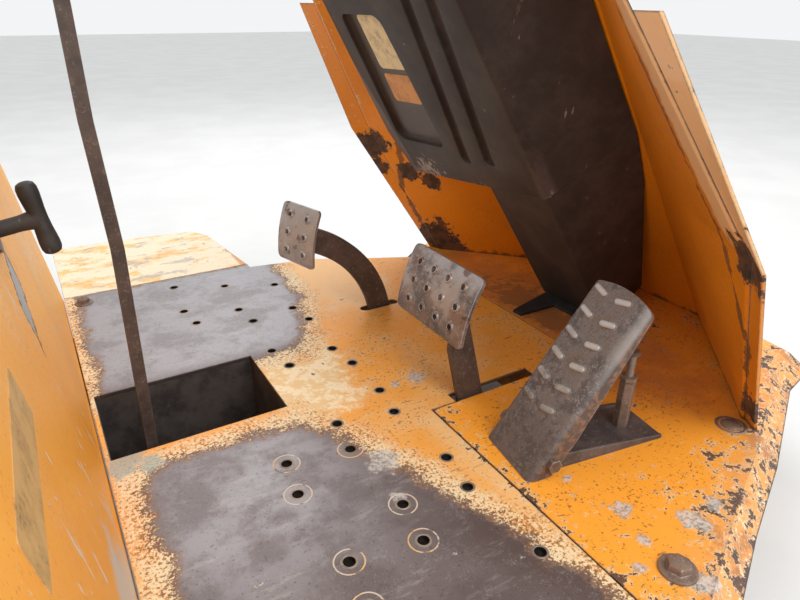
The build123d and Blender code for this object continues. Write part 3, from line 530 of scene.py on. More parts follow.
def cowl_paint():
    """The console's wings: bright glossy paint, rusted through at corners and feet."""
    f = painted("cowl_paint", paint().orange_deep, 43, paint().chips - 0.35, 0.1, 0.1, 0.35, 0.004)
    # a brown film darkens all the paint, unevenly: painted shade over the wings
    f.lay((148, 84, 26), 0.08 + f.soft(f.broad, 0.35, 0.65) * 0.16)
    rusted = f.spots(((598, -402, 268, 36), (560, -412, 330, 18), (606, 406, 240, 36),
                      (626, 410, 190, 22), (745, 362, 28, 50), (712, -383, 30, 34),
                      (660, 356, 186, 26), (700, 328, 168, 20)))
    # the folds between wing and flange, and the foot, carry a dark line with drips
    side = abs(f.along((0, 1, 0)))
    height = f.along((0, 0, 1))
    drips = f.noise(46, 5, 0.7, 47, f.stretched((1, 1, 0.5)))
    foot = f.soft(0 - height + (drips - 0.5) * 0.05, -0.012, 0)
    fold = side - (0.368 + 0.126 * height).least(0.4365 - 0.34 * height)
    seam = f.soft(0.004 + (drips - 0.5) * 0.04 - abs(fold), -0.001, 0.002)
    rusted = rusted + (f.cloudy - 0.5) * 1.9 + (f.fine - 0.5) * 1.8 + (f.speck - 0.5) * 0.5
    # pale on the right wing's flange above its foot: chalk-white worn paint, and a painted highlight
    # where the flange catches the light
    right = f.soft(f.beyond((0, 0, 0), (0, -1, 0)), 0, 0.01)
    chalk_and_highlight = f.soft(fold + (f.fine - 0.5) * 0.03, 0, 0.02) * right * f.soft(height, 0.22, 0.3)
    f.lay((238, 204, 160), f.soft(chalk_and_highlight + (f.cloudy - 0.5) * 1.2, 0.6, 0.9) * 0.7, 0.6)
    chipped(f, f.soft(fold, 0.03, 0.05) * 0.035)
    f.lay((214, 138, 58), f.soft(rusted, -0.12, 0.06) * 0.6, 0.6)
    dark = f.blend((98, 66, 44), (60, 44, 38), f.soft(f.noise(60, 5, 0.6, 46), 0.4, 0.6))
    f.lay(dark, f.soft(rusted, 0.08, 0.14).most(foot * 0.8).most(seam * 0.75), 0.75, height=-0.8)
    return f.done(0.0006, coat=0.2)


def frame_paint():
    """The chassis rails and brackets: dirty paint over scale."""
    f = painted("frame_paint", (206, 122, 40), 51, 0.85, 0.95, 0.1)
    wear = (f.noise(8, 6, 0.65, 52) - 0.64) * 0.4
    worn_through(f, wear)
    chipped(f)
    return f.done(0.0007)


def rough_steel(name, dark, mid, light, rust_share, seed, shine, polish, metallic, rounding):
    """Unpainted or thinly painted steel, rubbed bright on its edges."""
    f = Finish(name, dark, rounding=rounding)
    f.cloudy = f.noise(26, 6, 0.66, seed)
    f.fine = f.noise(130, 5, 0.65, seed + 1)
    f.speck = f.noise(420, 3, 0.6, seed + 2)
    worn = f.soft(f.edge + (f.fine - 0.5) * 0.2, 0.05, 0.26)
    rusty = f.soft(f.cloudy * 0.5 + f.fine * 0.5, 0.66 - 0.22 * rust_share, 0.8 - 0.22 * rust_share)
    f.rough = 0.62 - shine * 0.5 + f.fine * 0.25
    f.metal = metallic * (1 - rusty)
    f.lay(mid, f.soft(f.cloudy, 0.36, 0.62))
    f.lay((112, 72, 48), rusty * 0.85, 0.75)
    f.lay(light, f.soft(f.fine * 0.5 + f.speck * 0.5, 0.53, 0.64) * 0.3)
    f.lay(light, worn * polish, 0.35)
    f.lift(f.fine * 0.5 + f.cloudy * 0.6 + f.speck * 0.2)
    return f


# Plain steels: their dark, middle and pale tones, share of rust and seed, then shine, polish on
# edges, metal, rounding and depth of the bump
STEELS = {
    # brown-black paint of the pedal arms and the lever, and the accelerator's dusty bracket
    "black_metal": ((66, 54, 48), (86, 70, 62), (158, 142, 128), 0.25, 61,
                    0.35, 0.35, 0, 0.0025, 0.0004),
    "base_metal": ((70, 62, 60), (96, 84, 80), (160, 148, 138), 0.35, 63,
                   0.3, 0.45, 0, 0.0025, 0.0004),
    # bolts and pins, shafts rubbed bright, rims of the drain holes, the oily tray
    "rusty_steel": ((96, 78, 68), (136, 112, 96), (206, 196, 186), 0.55, 81,
                    0.3, 0.6, 0.25, 0.0025, 0.0005),
    "bare_steel": ((120, 114, 110), (158, 152, 148), (224, 220, 214), 0.15, 85,
                   0.6, 0.7, 0.7, 0.0025, 0.0003),
    "rim_steel": ((116, 100, 88), (164, 148, 132), (226, 210, 190), 0.25, 89,
                  0.4, 0.6, 0.2, 0, 0.0003),
    "dark_tray": ((52, 47, 46), (80, 72, 68), (112, 104, 96), 0.15, 93,
                  0.25, 0.2, 0, 0.0025, 0.0005),
}


def pad_steel():
    """The pedal pads: brown and blue-grey steel, polished on the raised rims and one edge."""
    f = rough_steel("pad_steel", (100, 98, 102), (142, 122, 112), (236, 234, 232), 0.5, 65,
                    0.7, 1, 0.5, 0.0015)
    clutch = f.soft(f.spots(((361, 208, 157, 100),)) + (f.fine - 0.5), 0, 0.5)
    f.lay((182, 180, 181), clutch * 0.65, 0.36)
    rubbed = f.soft(f.noise(14, 5, 0.66, 68), 0.46, 0.6)
    f.lay((190, 186, 186), rubbed * 0.6, 0.32)
    f.lay((92, 66, 52), f.soft(f.noise(30, 5, 0.66, 69), 0.58, 0.66) * 0.7, 0.6)
    return f.done(0.0005)


def treadle_steel():
    """The treadle: dark pressed steel with mud between pale, trodden lugs."""
    f = Finish("treadle_steel", (98, 90, 88), rounding=0.003)
    slope = radians(55.3)
    yaw = radians(-8.3)
    heel = (421, -268, 0.6)
    proud = f.beyond(heel, (-sin(slope) * cos(yaw), -sin(slope) * sin(yaw), cos(slope)))
    along = f.beyond(heel, (cos(slope) * cos(yaw), cos(slope) * sin(yaw), sin(slope)))
    across = f.beyond(heel, (-sin(yaw), cos(yaw), 0))
    cloudy = f.noise(24, 6, 0.66, 71)
    fine = f.noise(120, 5, 0.66, 72)
    speck = f.noise(380, 3, 0.6, 73)
    lug = f.soft(proud + (fine - 0.5) * 0.001, 0.0008, 0.0024)
    front = f.soft(proud, -0.008, -0.002)
    f.rough = 0.5 + fine * 0.2
    f.metal = 0.35 * front
    f.lay((144, 134, 131), f.soft(cloudy * 0.7 + fine * 0.3, 0.4, 0.6))
    f.lay((190, 184, 180), f.soft(fine * 0.5 + speck * 0.5, 0.5, 0.6) * 0.45)
    f.lay((60, 52, 50), f.soft(speck * 0.6 + cloudy * 0.4, 0.55, 0.62) * 0.6)
    mud = f.soft(cloudy * 0.5 + fine * 0.5, 0.49, 0.6) * (1 - lug)
    f.lay((118, 98, 78), mud * 0.6, 0.75)
    f.lay((84, 74, 70), (1 - f.soft(along, 0.03, 0.11)) * 0.5)
    skirt = f.blend((84, 68, 60), (134, 96, 68), f.soft(fine, 0.44, 0.6))
    f.lay(skirt, (1 - front) * 0.85, 0.7)
    rubbed = f.soft(along + (cloudy - 0.5) * 0.3, 0.03, 0.21)
    f.lay((206, 201, 196), lug * (0.15 + rubbed * 0.65), 0.34)
    # pale strip along the right edge of the top: a painted highlight of the rounded edge, and steel
    # rubbed there
    side = f.soft(0 - across + (cloudy - 0.5) * 0.012, 0.03, 0.044) * f.soft(along, 0.1, 0.2)
    f.lay((176, 172, 170), side * front * 0.6, 0.34)
    f.lay((208, 204, 200), f.soft(f.edge + (fine - 0.5) * 0.2, 0.05, 0.28) * 0.6, 0.36)
    f.lift(fine * 0.6 + cloudy * 0.7 + speck * 0.2)
    return f.done(0.0008)


def hole_shade_plug():
    """A dark plug in each drain hole: painted shade of the hole's depth, with a fine grain."""
    f = Finish("hole_shade_plug", (30, 25, 23), 0.9, rounding=0)
    f.lay((58, 48, 42), f.soft(f.noise(300, 4, 0.6, 95), 0.5, 0.66) * 0.6)
    f.lift(f.noise(500, 3, 0.6, 96))
    return f.done(0.0004, specular=0.2)


def moulded(name, dark, light, scuff, seed, scuffs, grain, gloss, rounding):
    """Moulded plastic or rubber with a fine grain, dust and pale scuffs."""
    f = Finish(name, dark, rounding=rounding)
    f.cloudy = f.noise(14, 6, 0.62, seed)
    f.fine = f.noise(90, 5, 0.66, seed + 1)
    pebble = f.noise(grain, 2, 0.5, seed + 2)
    scratch = f.noise(46, 4, 0.6, seed + 3, f.stretched((2.4, 0.5, 0.7), (0.3, 0.2, 0)))
    marks = f.soft(scratch, 0.685 - 0.06 * scuffs, 0.71 - 0.06 * scuffs) * f.soft(f.cloudy, 0.5, 0.62)
    f.rough = 1 - gloss + f.fine * 0.18 + marks * 0.15
    f.lay(light, f.soft(f.cloudy * 0.7 + f.fine * 0.3, 0.4, 0.66))
    f.lay(scuff, f.soft(f.edge + (f.fine - 0.5) * 0.3, 0.06, 0.35) * (0.2 + 0.3 * scuffs))
    f.lay(scuff, marks * 0.7)
    f.lift(pebble * 0.5 + f.fine * 0.4)
    return f


def console_plastic():
    """The console: brownish black moulding, scuffed pale along its lower edges."""
    f = moulded("console_plastic", (46, 38, 36), (66, 57, 54), (158, 148, 138), 101,
                0.5, 900, 0.45, 0.003)
    foot = (798, 0, 0)
    proud = f.beyond(foot, (-cos(LEAN), 0, -sin(LEAN)))
    along = f.beyond(foot, (-sin(LEAN), 0, cos(LEAN)))
    left = f.beyond(foot, (0, 1, 0))
    lip = 0.29 - 0.148 * (left + 0.07)
    low = 1 - f.soft(along - lip, 0, 0.055)
    ragged = (f.cloudy - 0.5) * 1.1 + (f.fine - 0.5) * 1.3
    face = f.soft(proud, -0.02, -0.012)
    corner = f.spots(((672, 270, 235, 70), (690, -95, 270, 60), (676, 120, 250, 45)))
    streak = f.soft(low * 0.45 + corner * 0.5 + ragged * 1.6, 0.62, 0.72) * face
    f.lay((176, 168, 160), streak * 0.7, 0.6, height=0.2)
    rim = f.soft(left, 0.318, 0.336) * face
    f.lay((112, 108, 108), f.soft(rim + ragged * 0.5, 0.45, 0.9) * 0.6, 0.45)
    # painted reflection: the recess in the console's face is lighter brown-grey
    recess_reflection = f.patch((0, 0.232, 0), (1, 0.092, 1)) * f.soft(0 - proud, 0.006, 0.01)
    f.lay((92, 80, 72), f.soft(recess_reflection, 0, 0.1) * 0.55, 0.45)
    ridge = 1 - f.soft(abs(left + 0.07), 0.004, 0.02)
    f.lay((120, 110, 108), ridge * f.soft(0.42 - along + ragged * 0.1, 0, 0.12) * face * 0.35)
    dust = f.soft(f.noise(5, 3, 0.55, 109), 0.35, 0.65)
    f.lay((84, 72, 64), dust * 0.3)
    return f.done(0.00035, specular=0.45)


# Plain mouldings: their dark, pale and scuffed tones and seed, then scuffs, grain, gloss,
# rounding, depth of the bump and specular
MOULDINGS = {
    # the dusty column cover, the knob and latch, the wheel's rim, the lamps, the rubber boots
    "column_plastic": ((48, 40, 37), (70, 58, 52), (132, 120, 110), 117,
                       0.35, 900, 0.45, 0.002, 0.0003, 0.4),
    "black_plastic": ((40, 37, 36), (60, 56, 54), (122, 116, 112), 111,
                      0.2, 1200, 0.5, 0.003, 0.00025, 0.5),
    "wheel_plastic": ((30, 29, 29), (46, 44, 43), (96, 92, 88), 115,
                      0.15, 1400, 0.6, 0, 0.0003, 0.5),
    "lamp_glass": ((126, 30, 22), (150, 52, 38), (150, 122, 108), 119,
                   0.2, 1200, 0.7, 0, 0.0002, 0.5),
    "black_rubber": ((34, 32, 32), (58, 54, 52), (110, 100, 92), 121,
                     0.4, 700, 0.25, 0.002, 0.0005, 0.35),
}

# Blank stuck-on plates: tone and seed
PLATES = {
    "cream_plate": ((228, 208, 160), 141),
    "orange_plate": ((214, 150, 78), 143),
    "wall_plate": ((206, 164, 104), 145),
}


def blank_plate(name, tone, seed):
    """A stuck-on plate left blank: faded, grimy at its rim, rubbed in places."""
    f = Finish(name, tone, rounding=0)
    cloudy = f.noise(40, 6, 0.66, seed)
    fine = f.noise(240, 4, 0.6, seed + 1)
    f.rough = 0.42 + 0.3 * fine
    f.lay([0.8 * c for c in linear(tone)], f.soft(cloudy, 0.42, 0.62))
    f.lay((120, 92, 66), f.soft(cloudy * 0.5 + fine * 0.5, 0.55, 0.66) * 0.7)
    f.lift(fine * 0.5 + cloudy * 0.4)
    return f.done(0.0002)


def ring_paint():
    """The ring round a hole: a pale, thin line, broken here and there."""
    f = Finish("ring_paint", (206, 190, 172), 0.6, rounding=0)
    f.lay((222, 176, 116), f.soft(f.noise(20, 4, 0.6, 130), 0.46, 0.6))
    f.lay((112, 100, 96), f.soft(f.noise(60, 5, 0.66, 131), 0.54, 0.6) * 0.9)
    return f.done()


MAKERS = {make.__name__: make for make in (
    worn_deck_paint, deck_paint, step_paint, seat_wall_paint, cowl_paint, frame_paint, pad_steel,
    treadle_steel, hole_shade_plug, console_plastic, ring_paint)}


def finish(name):
    """The material of that name, made once."""
    made = bpy.data.materials.get(name + "_finish")
    if made:
        return made
    if name in STEELS:
        *look, depth = STEELS[name]
        return rough_steel(name, *look).done(depth)
    if name in MOULDINGS:
        *look, depth, specular = MOULDINGS[name]
        return moulded(name, *look).done(depth, specular=specular)
    if name in PLATES:
        return blank_plate(name, *PLATES[name])
    return MAKERS[name]()


# Which finish each solid takes
NODE_FINISH = {
    "worn_deck_paint": ["floor_plate"],
    "deck_paint": ["front_plate"],
    "step_paint": ["left_step_plate", "right_step_plate"],
    "frame_paint": ["left_rail", "right_rail", "rear_cross_member", "middle_cross_member",
                    "front_cross_member", "left_step_brackets", "right_step_brackets"],
    "seat_wall_paint": ["seat_box_wall"],
    "cowl_paint": ["console_cowl", "left_wing_flange", "right_wing_flange", "dash_panel"],
    "black_metal": ["clutch_arm", "brake_arm", "clutch_boss", "brake_boss", "range_lever",
                    "steering_column"],
    "base_metal": ["accelerator_base"],
    "pad_steel": ["clutch_pad", "brake_pad"],
    "treadle_steel": ["treadle"],
    "rusty_steel": ["treadle_pivot_bolt", "treadle_stop_screw", "latch_plate", "lever_pin"],
    "bare_steel": ["pedal_shaft", "wheel_shaft"],
    "dark_tray": ["lever_tray", "plate_ledges"],
    "console_plastic": ["console_box"],
    "column_plastic": ["column_cover"],
    "black_plastic": ["lever_knob", "latch_handle"],
    "wheel_plastic": ["steering_wheel"],
    "black_rubber": ["column_gaiter"],
}


def give(obj, material):
    """Gives a piece one material in place of those it has."""
    obj.data.materials.clear()
    obj.data.materials.append(material)


# Modelling helpers

bevel = partial(bmesh.ops.bevel, affect="EDGES", profile=0.5, material=-1)


def as_mesh(name, bm):
    """Turns a bmesh into a mesh of that name and frees it."""
    mesh = bpy.data.meshes.new(name)
    bm.to_mesh(mesh)
    bm.free()
    return mesh


def new_piece(name, bm, body, slot, *looks):
    """Turns a bmesh into a piece that rides on a body, in these finishes."""
    mesh = as_mesh(name, bm)
    obj = bpy.data.objects.new(name, mesh)
    bpy.context.scene.collection.objects.link(obj)
    for look in looks:
        mesh.materials.append(finish(look))
    mesh.shade_smooth()
    mesh.set_sharp_from_angle(angle=radians(35))
    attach(obj, body)
    return obj


def spun(bm, profile, place, steps=40, material=0, ring=False):
    """Turns a profile of radius, height points in millimetres, closed as a ring or on the axis."""
    if ring:
        profile = [*profile, profile[0]]
    else:
        ends = [[(0, height)] if radius else [] for radius, height in (profile[0], profile[-1])]
        profile = ends[0] + profile + ends[1]
    before = set(bm.faces)
    verts = [bm.verts.new((radius / 1000, 0, height / 1000)) for radius, height in profile]
    edges = [bm.edges.new(pair) for pair in zip(verts, verts[1:])]
    bmesh.ops.spin(bm, geom=verts + edges, cent=(0, 0, 0), axis=(0, 0, 1), dvec=(0, 0, 0),
                   angle=2 * pi, steps=steps, use_merge=True, use_duplicate=False)
    bmesh.ops.remove_doubles(bm, verts=list({v for f in set(bm.faces) - before for v in f.verts}),
                             dist=1e-6)
    faces = [face for face in bm.faces if face not in before]
    bmesh.ops.recalc_face_normals(bm, faces=faces)
    bmesh.ops.transform(bm, matrix=place, verts=list({v for face in faces for v in face.verts}))
    for face in faces:
        face.material_index = material


def hexagon(bm, across, height, place):
    """A bolt head in millimetres with chamfered corners, standing on place."""
    radius = across / sqrt(3) / 1000
    made = bmesh.ops.create_cone(bm, cap_ends=True, segments=6, radius1=radius, radius2=radius,
                                 depth=height / 1000, matrix=moved(Matrix(), z=height / 2))
    top = [e for e in {e for v in made["verts"] for e in v.link_edges}
           if all(v.co.z > height * 0.0009 for v in e.verts)]
    chamfer = bevel(bm, geom=top, offset=across * 0.00008, segments=2)
    verts = {v for v in made["verts"] if v.is_valid} | set(chamfer["verts"])
    verts = {v for vert in verts for face in vert.link_faces for v in face.verts}
    bmesh.ops.transform(bm, matrix=place, verts=list(verts))


def bead(runs, radius):
    """Weld beads along straight runs, as lumpy rounds."""
    curve = bpy.data.curves.new("bead", "CURVE")
    curve.dimensions = "3D"
    curve.bevel_depth = radius
    curve.bevel_resolution = 2
    curve.use_fill_caps = True
    for start, end in runs:
        steps = max(3, int((end - start).length / (radius * 1.3)))
        line = curve.splines.new("POLY")
        line.points.add(steps)
        for i, point in enumerate(line.points):
            share = i / steps
            point.co = (*(start.lerp(end, share)), 1)
            point.radius = 1 + 0.14 * sin(i * 2.1) + 0.08 * sin(i * 5.3)
    obj = bpy.data.objects.new("bead", curve)
    bpy.context.scene.collection.objects.link(obj)
    bpy.context.view_layer.update()
    mesh = bpy.data.meshes.new_from_object(obj)
    bpy.data.objects.remove(obj)
    bm = bmesh.new()
    bm.from_mesh(mesh)
    bpy.data.meshes.remove(mesh)
    bmesh.ops.remove_doubles(bm, verts=bm.verts, dist=1e-6)
    return bm


def rounded_copy(node, radius):
    """A copy of a solid with its sharp edges rounded."""
    bm = bmesh.new()
    bm.from_mesh(nodes[node].data)
    bmesh.ops.remove_doubles(bm, verts=bm.verts, dist=1e-6)
    bmesh.ops.dissolve_limit(bm, angle_limit=radians(1), verts=bm.verts, edges=bm.edges,
                             use_dissolve_boundaries=False)
    edges = [e for e in bm.edges if len(e.link_faces) == 2
             and e.calc_face_angle(0) > radians(28)]
    bevel(bm, geom=edges, offset=radius, segments=4, clamp_overlap=True)
    return bm


def thin_plate(name, corners, thickness, place, corner_radius, slot, look):
    """A thin plate with rounded corners, given across and up the face of place in millimetres."""
    bm = bmesh.new()
    face = bm.faces.new([bm.verts.new((x / 1000, 0, z / 1000)) for x, z in corners])
    bevel(bm, geom=face.verts[:], offset=corner_radius, segments=5, affect="VERTICES")
    body = bmesh.ops.extrude_face_region(bm, geom=bm.faces[:])
    verts = [v for v in body["geom"] if isinstance(v, bmesh.types.BMVert)]
    bmesh.ops.translate(bm, vec=(0, -thickness, 0), verts=verts)
    bmesh.ops.recalc_face_normals(bm, faces=bm.faces)
    bmesh.ops.transform(bm, matrix=place, verts=bm.verts)
    new_piece(name, bm, "platform", slot, look)


# Places on the deck

def drain_holes():
    """Centres of the drain holes in millimetres: staggered pairs in three rows."""
    centres = []
    for row in range(3):
        x = 180 + 86 * row
        for side in (1, -1):
            for pair in range(3):
                inner = 43 + 40.5 * (2 - row) + 167 * pair
                centres.append((x + 8, -20 + side * inner))
                if pair < 2:
                    centres.append((x, -20 + side * (inner + 54.5)))
    open_x = (8 - 19.5, 232 + 19.5)
    return [(x, y) for x, y in centres
            if -480 < y < 455 and not (open_x[0] < x < open_x[1] and abs(y - 43) < 77.5 + 39)]


def in_worn_patch(x, y):
    """True for the holes in the near patch, whose pressed rings still show."""
    return y < -80 and x < 285 - 0.33 * (y + 178)


class PLATFORM_OT_finishes(bpy.types.Operator):
    """Gives every solid its painted, steel, plastic or rubber finish"""

    bl_idname = "platform.finishes"
    bl_label = "Finishes"

    def execute(self, context):
        for name, members in NODE_FINISH.items():
            for node in members:
                give(nodes[node], finish(name))
        return {"FINISHED"}


class PLATFORM_OT_hole_rims(bpy.types.Operator):
    """Adds the rubbed rim of each drain hole, and the pressed ring of the holes in the near worn patch
    """

    bl_idname = "platform.hole_rims"
    bl_label = "Drain hole rims"

    def execute(self, context):
        sizes = context.scene.platform_deck
        edge = sizes.hole * 1000
        ring = sizes.ring * 1000
        bm = bmesh.new()
        for x, y in drain_holes():
            place = on_deck(x, y)
            # a dark plug fills each hole from 5 mm down: painted shade of the open hole
            spun(bm, [(0, -5.5), (edge - 0.3, -5), (edge - 0.3, 0.1), (edge - 0.1, 0.1),
                      (edge - 0.1, -5.8), (0, -5.8)], place, 28, 2)
            spun(bm, [(edge, 0.1), (edge + 0.7, 0.6), (edge + 1.7, 0.5), (edge + 2.5, 0.05)],
                 place, 28, 1, ring=True)
            if in_worn_patch(x, y):
                spun(bm, [(ring - 0.9, 0.05), (ring - 0.3, 0.35), (ring + 0.3, 0.35),
                          (ring + 0.8, 0.05)], place, 36, ring=True)
        new_piece("drain_hole_rims", bm, "platform", "worn_deck_paint", "ring_paint", "rim_steel",
                  "hole_shade_plug")
        return {"FINISHED"}


class PLATFORM_OT_bolts(bpy.types.Operator):
    """Adds the bolts, washers and plug of the deck plates"""

    bl_idname = "platform.bolts"
    bl_label = "Deck bolts"

    def execute(self, context):
        sizes = context.scene.platform_deck
        bolt = sizes.bolt * 1000
        flat = sizes.washer * 1000
        bm = bmesh.new()
        place = on_deck(461, -482, 0, 0.3)
        spun(bm, [(0, 3), (flat - 1, 3), (flat, 2.2), (flat, 0.05)], place)
        hexagon(bm, bolt, 8.5, moved(place, z=3))
        place = on_deck(722, -365)
        spun(bm, [(0, 4.2), (6, 4), (10.5, 3), (12.8, 1.2), (13.3, 0.05)], place, 36)
        spun(bm, [(15, 0.05), (16.5, 0.6), (18.5, 0.45), (20, 0.05)], place, 36, ring=True)
        for y, turn in ((449, 0.2), (-484, 0.5)):
            place = on_deck(32, y, 0, turn)
            spun(bm, [(0, 2.2), (14.8, 2.2), (15.5, 1.5), (15.5, 0.05)], place, 36)
            hexagon(bm, bolt * 0.85, 7.5, moved(place, z=2.2))
        new_piece("deck_bolts", bm, "platform", "rusty_steel", "rusty_steel")
        return {"FINISHED"}


class PLATFORM_OT_console(bpy.types.Operator):
    """Rounds the moulded console and adds its two blank plates"""

    bl_idname = "platform.console"
    bl_label = "Console"

    def execute(self, context):
        sizes = context.scene.platform_console
        moulding = new_piece("console_moulding", rounded_copy("console_box", sizes.rounding),
                             "platform", "console_plastic", "console_plastic")
        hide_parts("console_box")
        # the recess in the face lies 11.8 mm in
        recess = moved(console_face, y=11.8)
        for name, look, corners in (
                ("console_upper_plate", "cream_plate",
                 [(-241, 571), (-258, 472), (-166, 477), (-158, 571)]),
                ("console_lower_plate", "orange_plate",
                 [(-261, 462), (-272, 404), (-180, 409), (-168, 466)])):
            thin_plate(name, corners, sizes.label, recess, 0.008, "console_plastic", look)
        return {"FINISHED"}


def wheel_spoke(rim):
    """One spoke along x, waisted, a little dished and rounded along its edges."""
    bm = bmesh.new()
    length = rim - 0.03
    bmesh.ops.create_cube(bm, size=1, matrix=Matrix.Translation((rim / 2 + 0.008, 0, -0.001))
                          @ Matrix.Diagonal((length, 0.025, 0.0062, 1)))
    long_edges = [e for e in bm.edges if abs(e.verts[0].co.x - e.verts[1].co.x) > 0.05]
    bmesh.ops.subdivide_edges(bm, edges=long_edges, cuts=7, use_grid_fill=True)
    for v in bm.verts:
        share = (v.co.x - 0.02) / length
        v.co.y *= 1.25 - 1.1 * share + 0.9 * share * share
        v.co.z -= 0.0035 * sin(share * pi)
    corners = [e for e in bm.edges if len(e.link_faces) == 2 and e.calc_face_angle(0) > 1.2]
    bevel(bm, geom=corners, offset=0.0022, segments=3, clamp_overlap=True)
    return as_mesh("wheel_spoke", bm)


class PLATFORM_OT_wheel(bpy.types.Operator):
    """Builds the moulded steering wheel with its grip, spokes and hub cap"""

    bl_idname = "platform.wheel"
    bl_label = "Steering wheel"

    def execute(self, context):
        sizes = context.scene.platform_console
        rim = sizes.rim * 1000
        grip = sizes.grip * 1000
        bm = bmesh.new()
        section = [(rim + grip * cos(i * pi / 7), grip * sin(i * pi / 7)) for i in range(14)]
        spun(bm, section, Matrix(), 96, ring=True)
        spun(bm, [(0, -32.5), (30, -32.5), (33.5, -29), (33.5, 2), (31, 6), (26, 7.5), (24.5, 6.5),
                  (23, 9.5), (12, 10.6), (0, 10.8)], Matrix(), 48)
        spoke = wheel_spoke(sizes.rim)
        for i in range(sizes.spokes):
            turned = spoke.copy()
            turned.transform(Matrix.Rotation(radians(90 + 360 / sizes.spokes * i), 4, "Z"))
            bm.from_mesh(turned)
            bpy.data.meshes.remove(turned)
        bpy.data.meshes.remove(spoke)
        bmesh.ops.transform(bm, matrix=moved(column_top, z=-11), verts=bm.verts)
        wheel = new_piece("moulded_wheel", bm, "steering", "black_plastic", "wheel_plastic")
        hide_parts("steering_wheel")
        return {"FINISHED"}


class PLATFORM_OT_seat_box(bpy.types.Operator):
    """Adds the blank plate of the seat box wall"""

    bl_idname = "platform.seat_box"
    bl_label = "Seat box"

    def execute(self, context):
        thin_plate("seat_wall_plate", [(-264, 274), (-442, 274), (-442, 233), (-264, 233)],
                   context.scene.platform_console.label, wall_face, 0.003, "seat_wall_paint",
                   "wall_plate")
        return {"FINISHED"}


class PLATFORM_OT_dash(bpy.types.Operator):
    """Adds the dash's blank gauge, key switch, lamps and screws, and the column's boot"""

    bl_idname = "platform.dash"
    bl_label = "Dash"

    def execute(self, context):
        top = moved(dash, z=4.1)
        gauge = moved(top, -105, 45)
        bm = bmesh.new()
        spun(bm, [(0, 2), (22.4, 2), (22.4, 0)], gauge, 36, 1)
        spun(bm, [(22.6, 2), (23.6, 5.2), (26.2, 5.8), (28.4, 4.2), (29, 0)], gauge, 36, ring=True)
        spun(bm, [(0, 13), (5, 12.8), (6, 11.6), (6.2, 5.2), (9.6, 4.8), (11, 3), (11.4, 0)],
             moved(top, 90, 40), 28)
        for x in (120, 146):
            spun(bm, [(0, 5), (3.4, 4.5), (5.4, 2.4), (7, 1.8), (7.6, 0)], moved(top, x, 66), 24, 2)
        for x, y in ((-258, 8), (258, 8), (-132, 108), (132, 108)):
            spun(bm, [(0, 3.2), (3.6, 2.8), (5.8, 1.4), (6.4, 0)], moved(top, x, y), 20, 3)
        spun(bm, [(25.2, 32), (27.6, 30.2), (29, 26.5), (27.4, 23.2), (31.8, 19.8), (30.2, 16),
                  (35.8, 12.5), (34.4, 8.5), (42, 5), (43.6, 0), (25.2, 0)],
             moved(top, y=60), 36, 4, ring=True)
        new_piece("dash_fittings", bm, "platform", "black_plastic", "black_plastic", "cream_plate",
                  "lamp_glass", "rusty_steel", "black_rubber")
        return {"FINISHED"}


class PLATFORM_OT_latch(bpy.types.Operator):
    """Shapes the latch's grip with its waisted bar, flared stem and cam"""

    bl_idname = "platform.latch"
    bl_label = "Latch grip"

    def execute(self, context):
        stem = tilted(deck(-293 * tan(WALL_LEAN), -17, 293), (0, 1, 0),
                      (cos(WALL_LEAN), 0, sin(WALL_LEAN)))
        half = [(8.3, 0), (8.6, 10), (9.4, 19), (9.9, 26), (9.7, 32), (8.2, 36), (5, 37.8), (0, 38)]
        bar = [(radius, -along) for radius, along in reversed(half)] + half[1:]
        bm = bmesh.new()
        spun(bm, bar, moved(stem, z=44) @ Matrix.Rotation(-pi / 2, 4, "X"), 28)
        spun(bm, [(0, -11.8), (8, -11.8), (8, 26), (8.6, 32), (9.4, 36), (9.4, 44)], stem, 28)
        cam = bmesh.ops.create_cube(bm, size=1, matrix=moved(stem, 0, 15, -14)
                                    @ Matrix.Diagonal((0.02, 0.06, 0.005, 1)))
        edges = {e for v in cam["verts"] for e in v.link_edges}
        bevel(bm, geom=list(edges), offset=0.0015, segments=2)
        grip = new_piece("latch_grip", bm, "latch", "black_plastic", "black_plastic")
        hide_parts("latch_handle")
        return {"FINISHED"}


class PLATFORM_OT_stop_screw(bpy.types.Operator):
    """Builds the treadle's stop screw: sleeve, lock nut, thread and cap"""

    bl_idname = "platform.stop_screw"
    bl_label = "Stop screw"

    def execute(self, context):
        place = on_deck(591.2, -292.8, 4, radians(-8.3))
        bm = bmesh.new()
        hexagon(bm, 17.5, 67, place)
        hexagon(bm, 19.5, 6, moved(place, z=68.5))
        spun(bm, [(5.2 - 0.6 * (i % 2), 66.5 + 0.8 * i) for i in range(51)], place, 20)
        spun(bm, [(5, 106.2), (8.2, 106.2), (9, 107.4), (8.8, 109.8), (6.6, 111.6), (0, 112)],
             place, 28)
        screw = new_piece("stop_screw_parts", bm, "platform", "rusty_steel", "rusty_steel")
        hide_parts("treadle_stop_screw")
        return {"FINISHED"}


class PLATFORM_OT_welds(bpy.types.Operator):
    """Adds weld beads where the frame's pieces meet"""

    bl_idname = "platform.welds"
    bl_label = "Weld beads"

    def execute(self, context):
        radius = context.scene.platform_deck.bead
        runs = [(deck(x + edge, y, -16), deck(x + edge, y, -70))
                for x in (-30, 620, 836) for y in (321, -321) for edge in (-25, 25)]
        new_piece("frame_welds", bead(runs, radius), "platform", "frame_paint", "frame_paint")
        return {"FINISHED"}


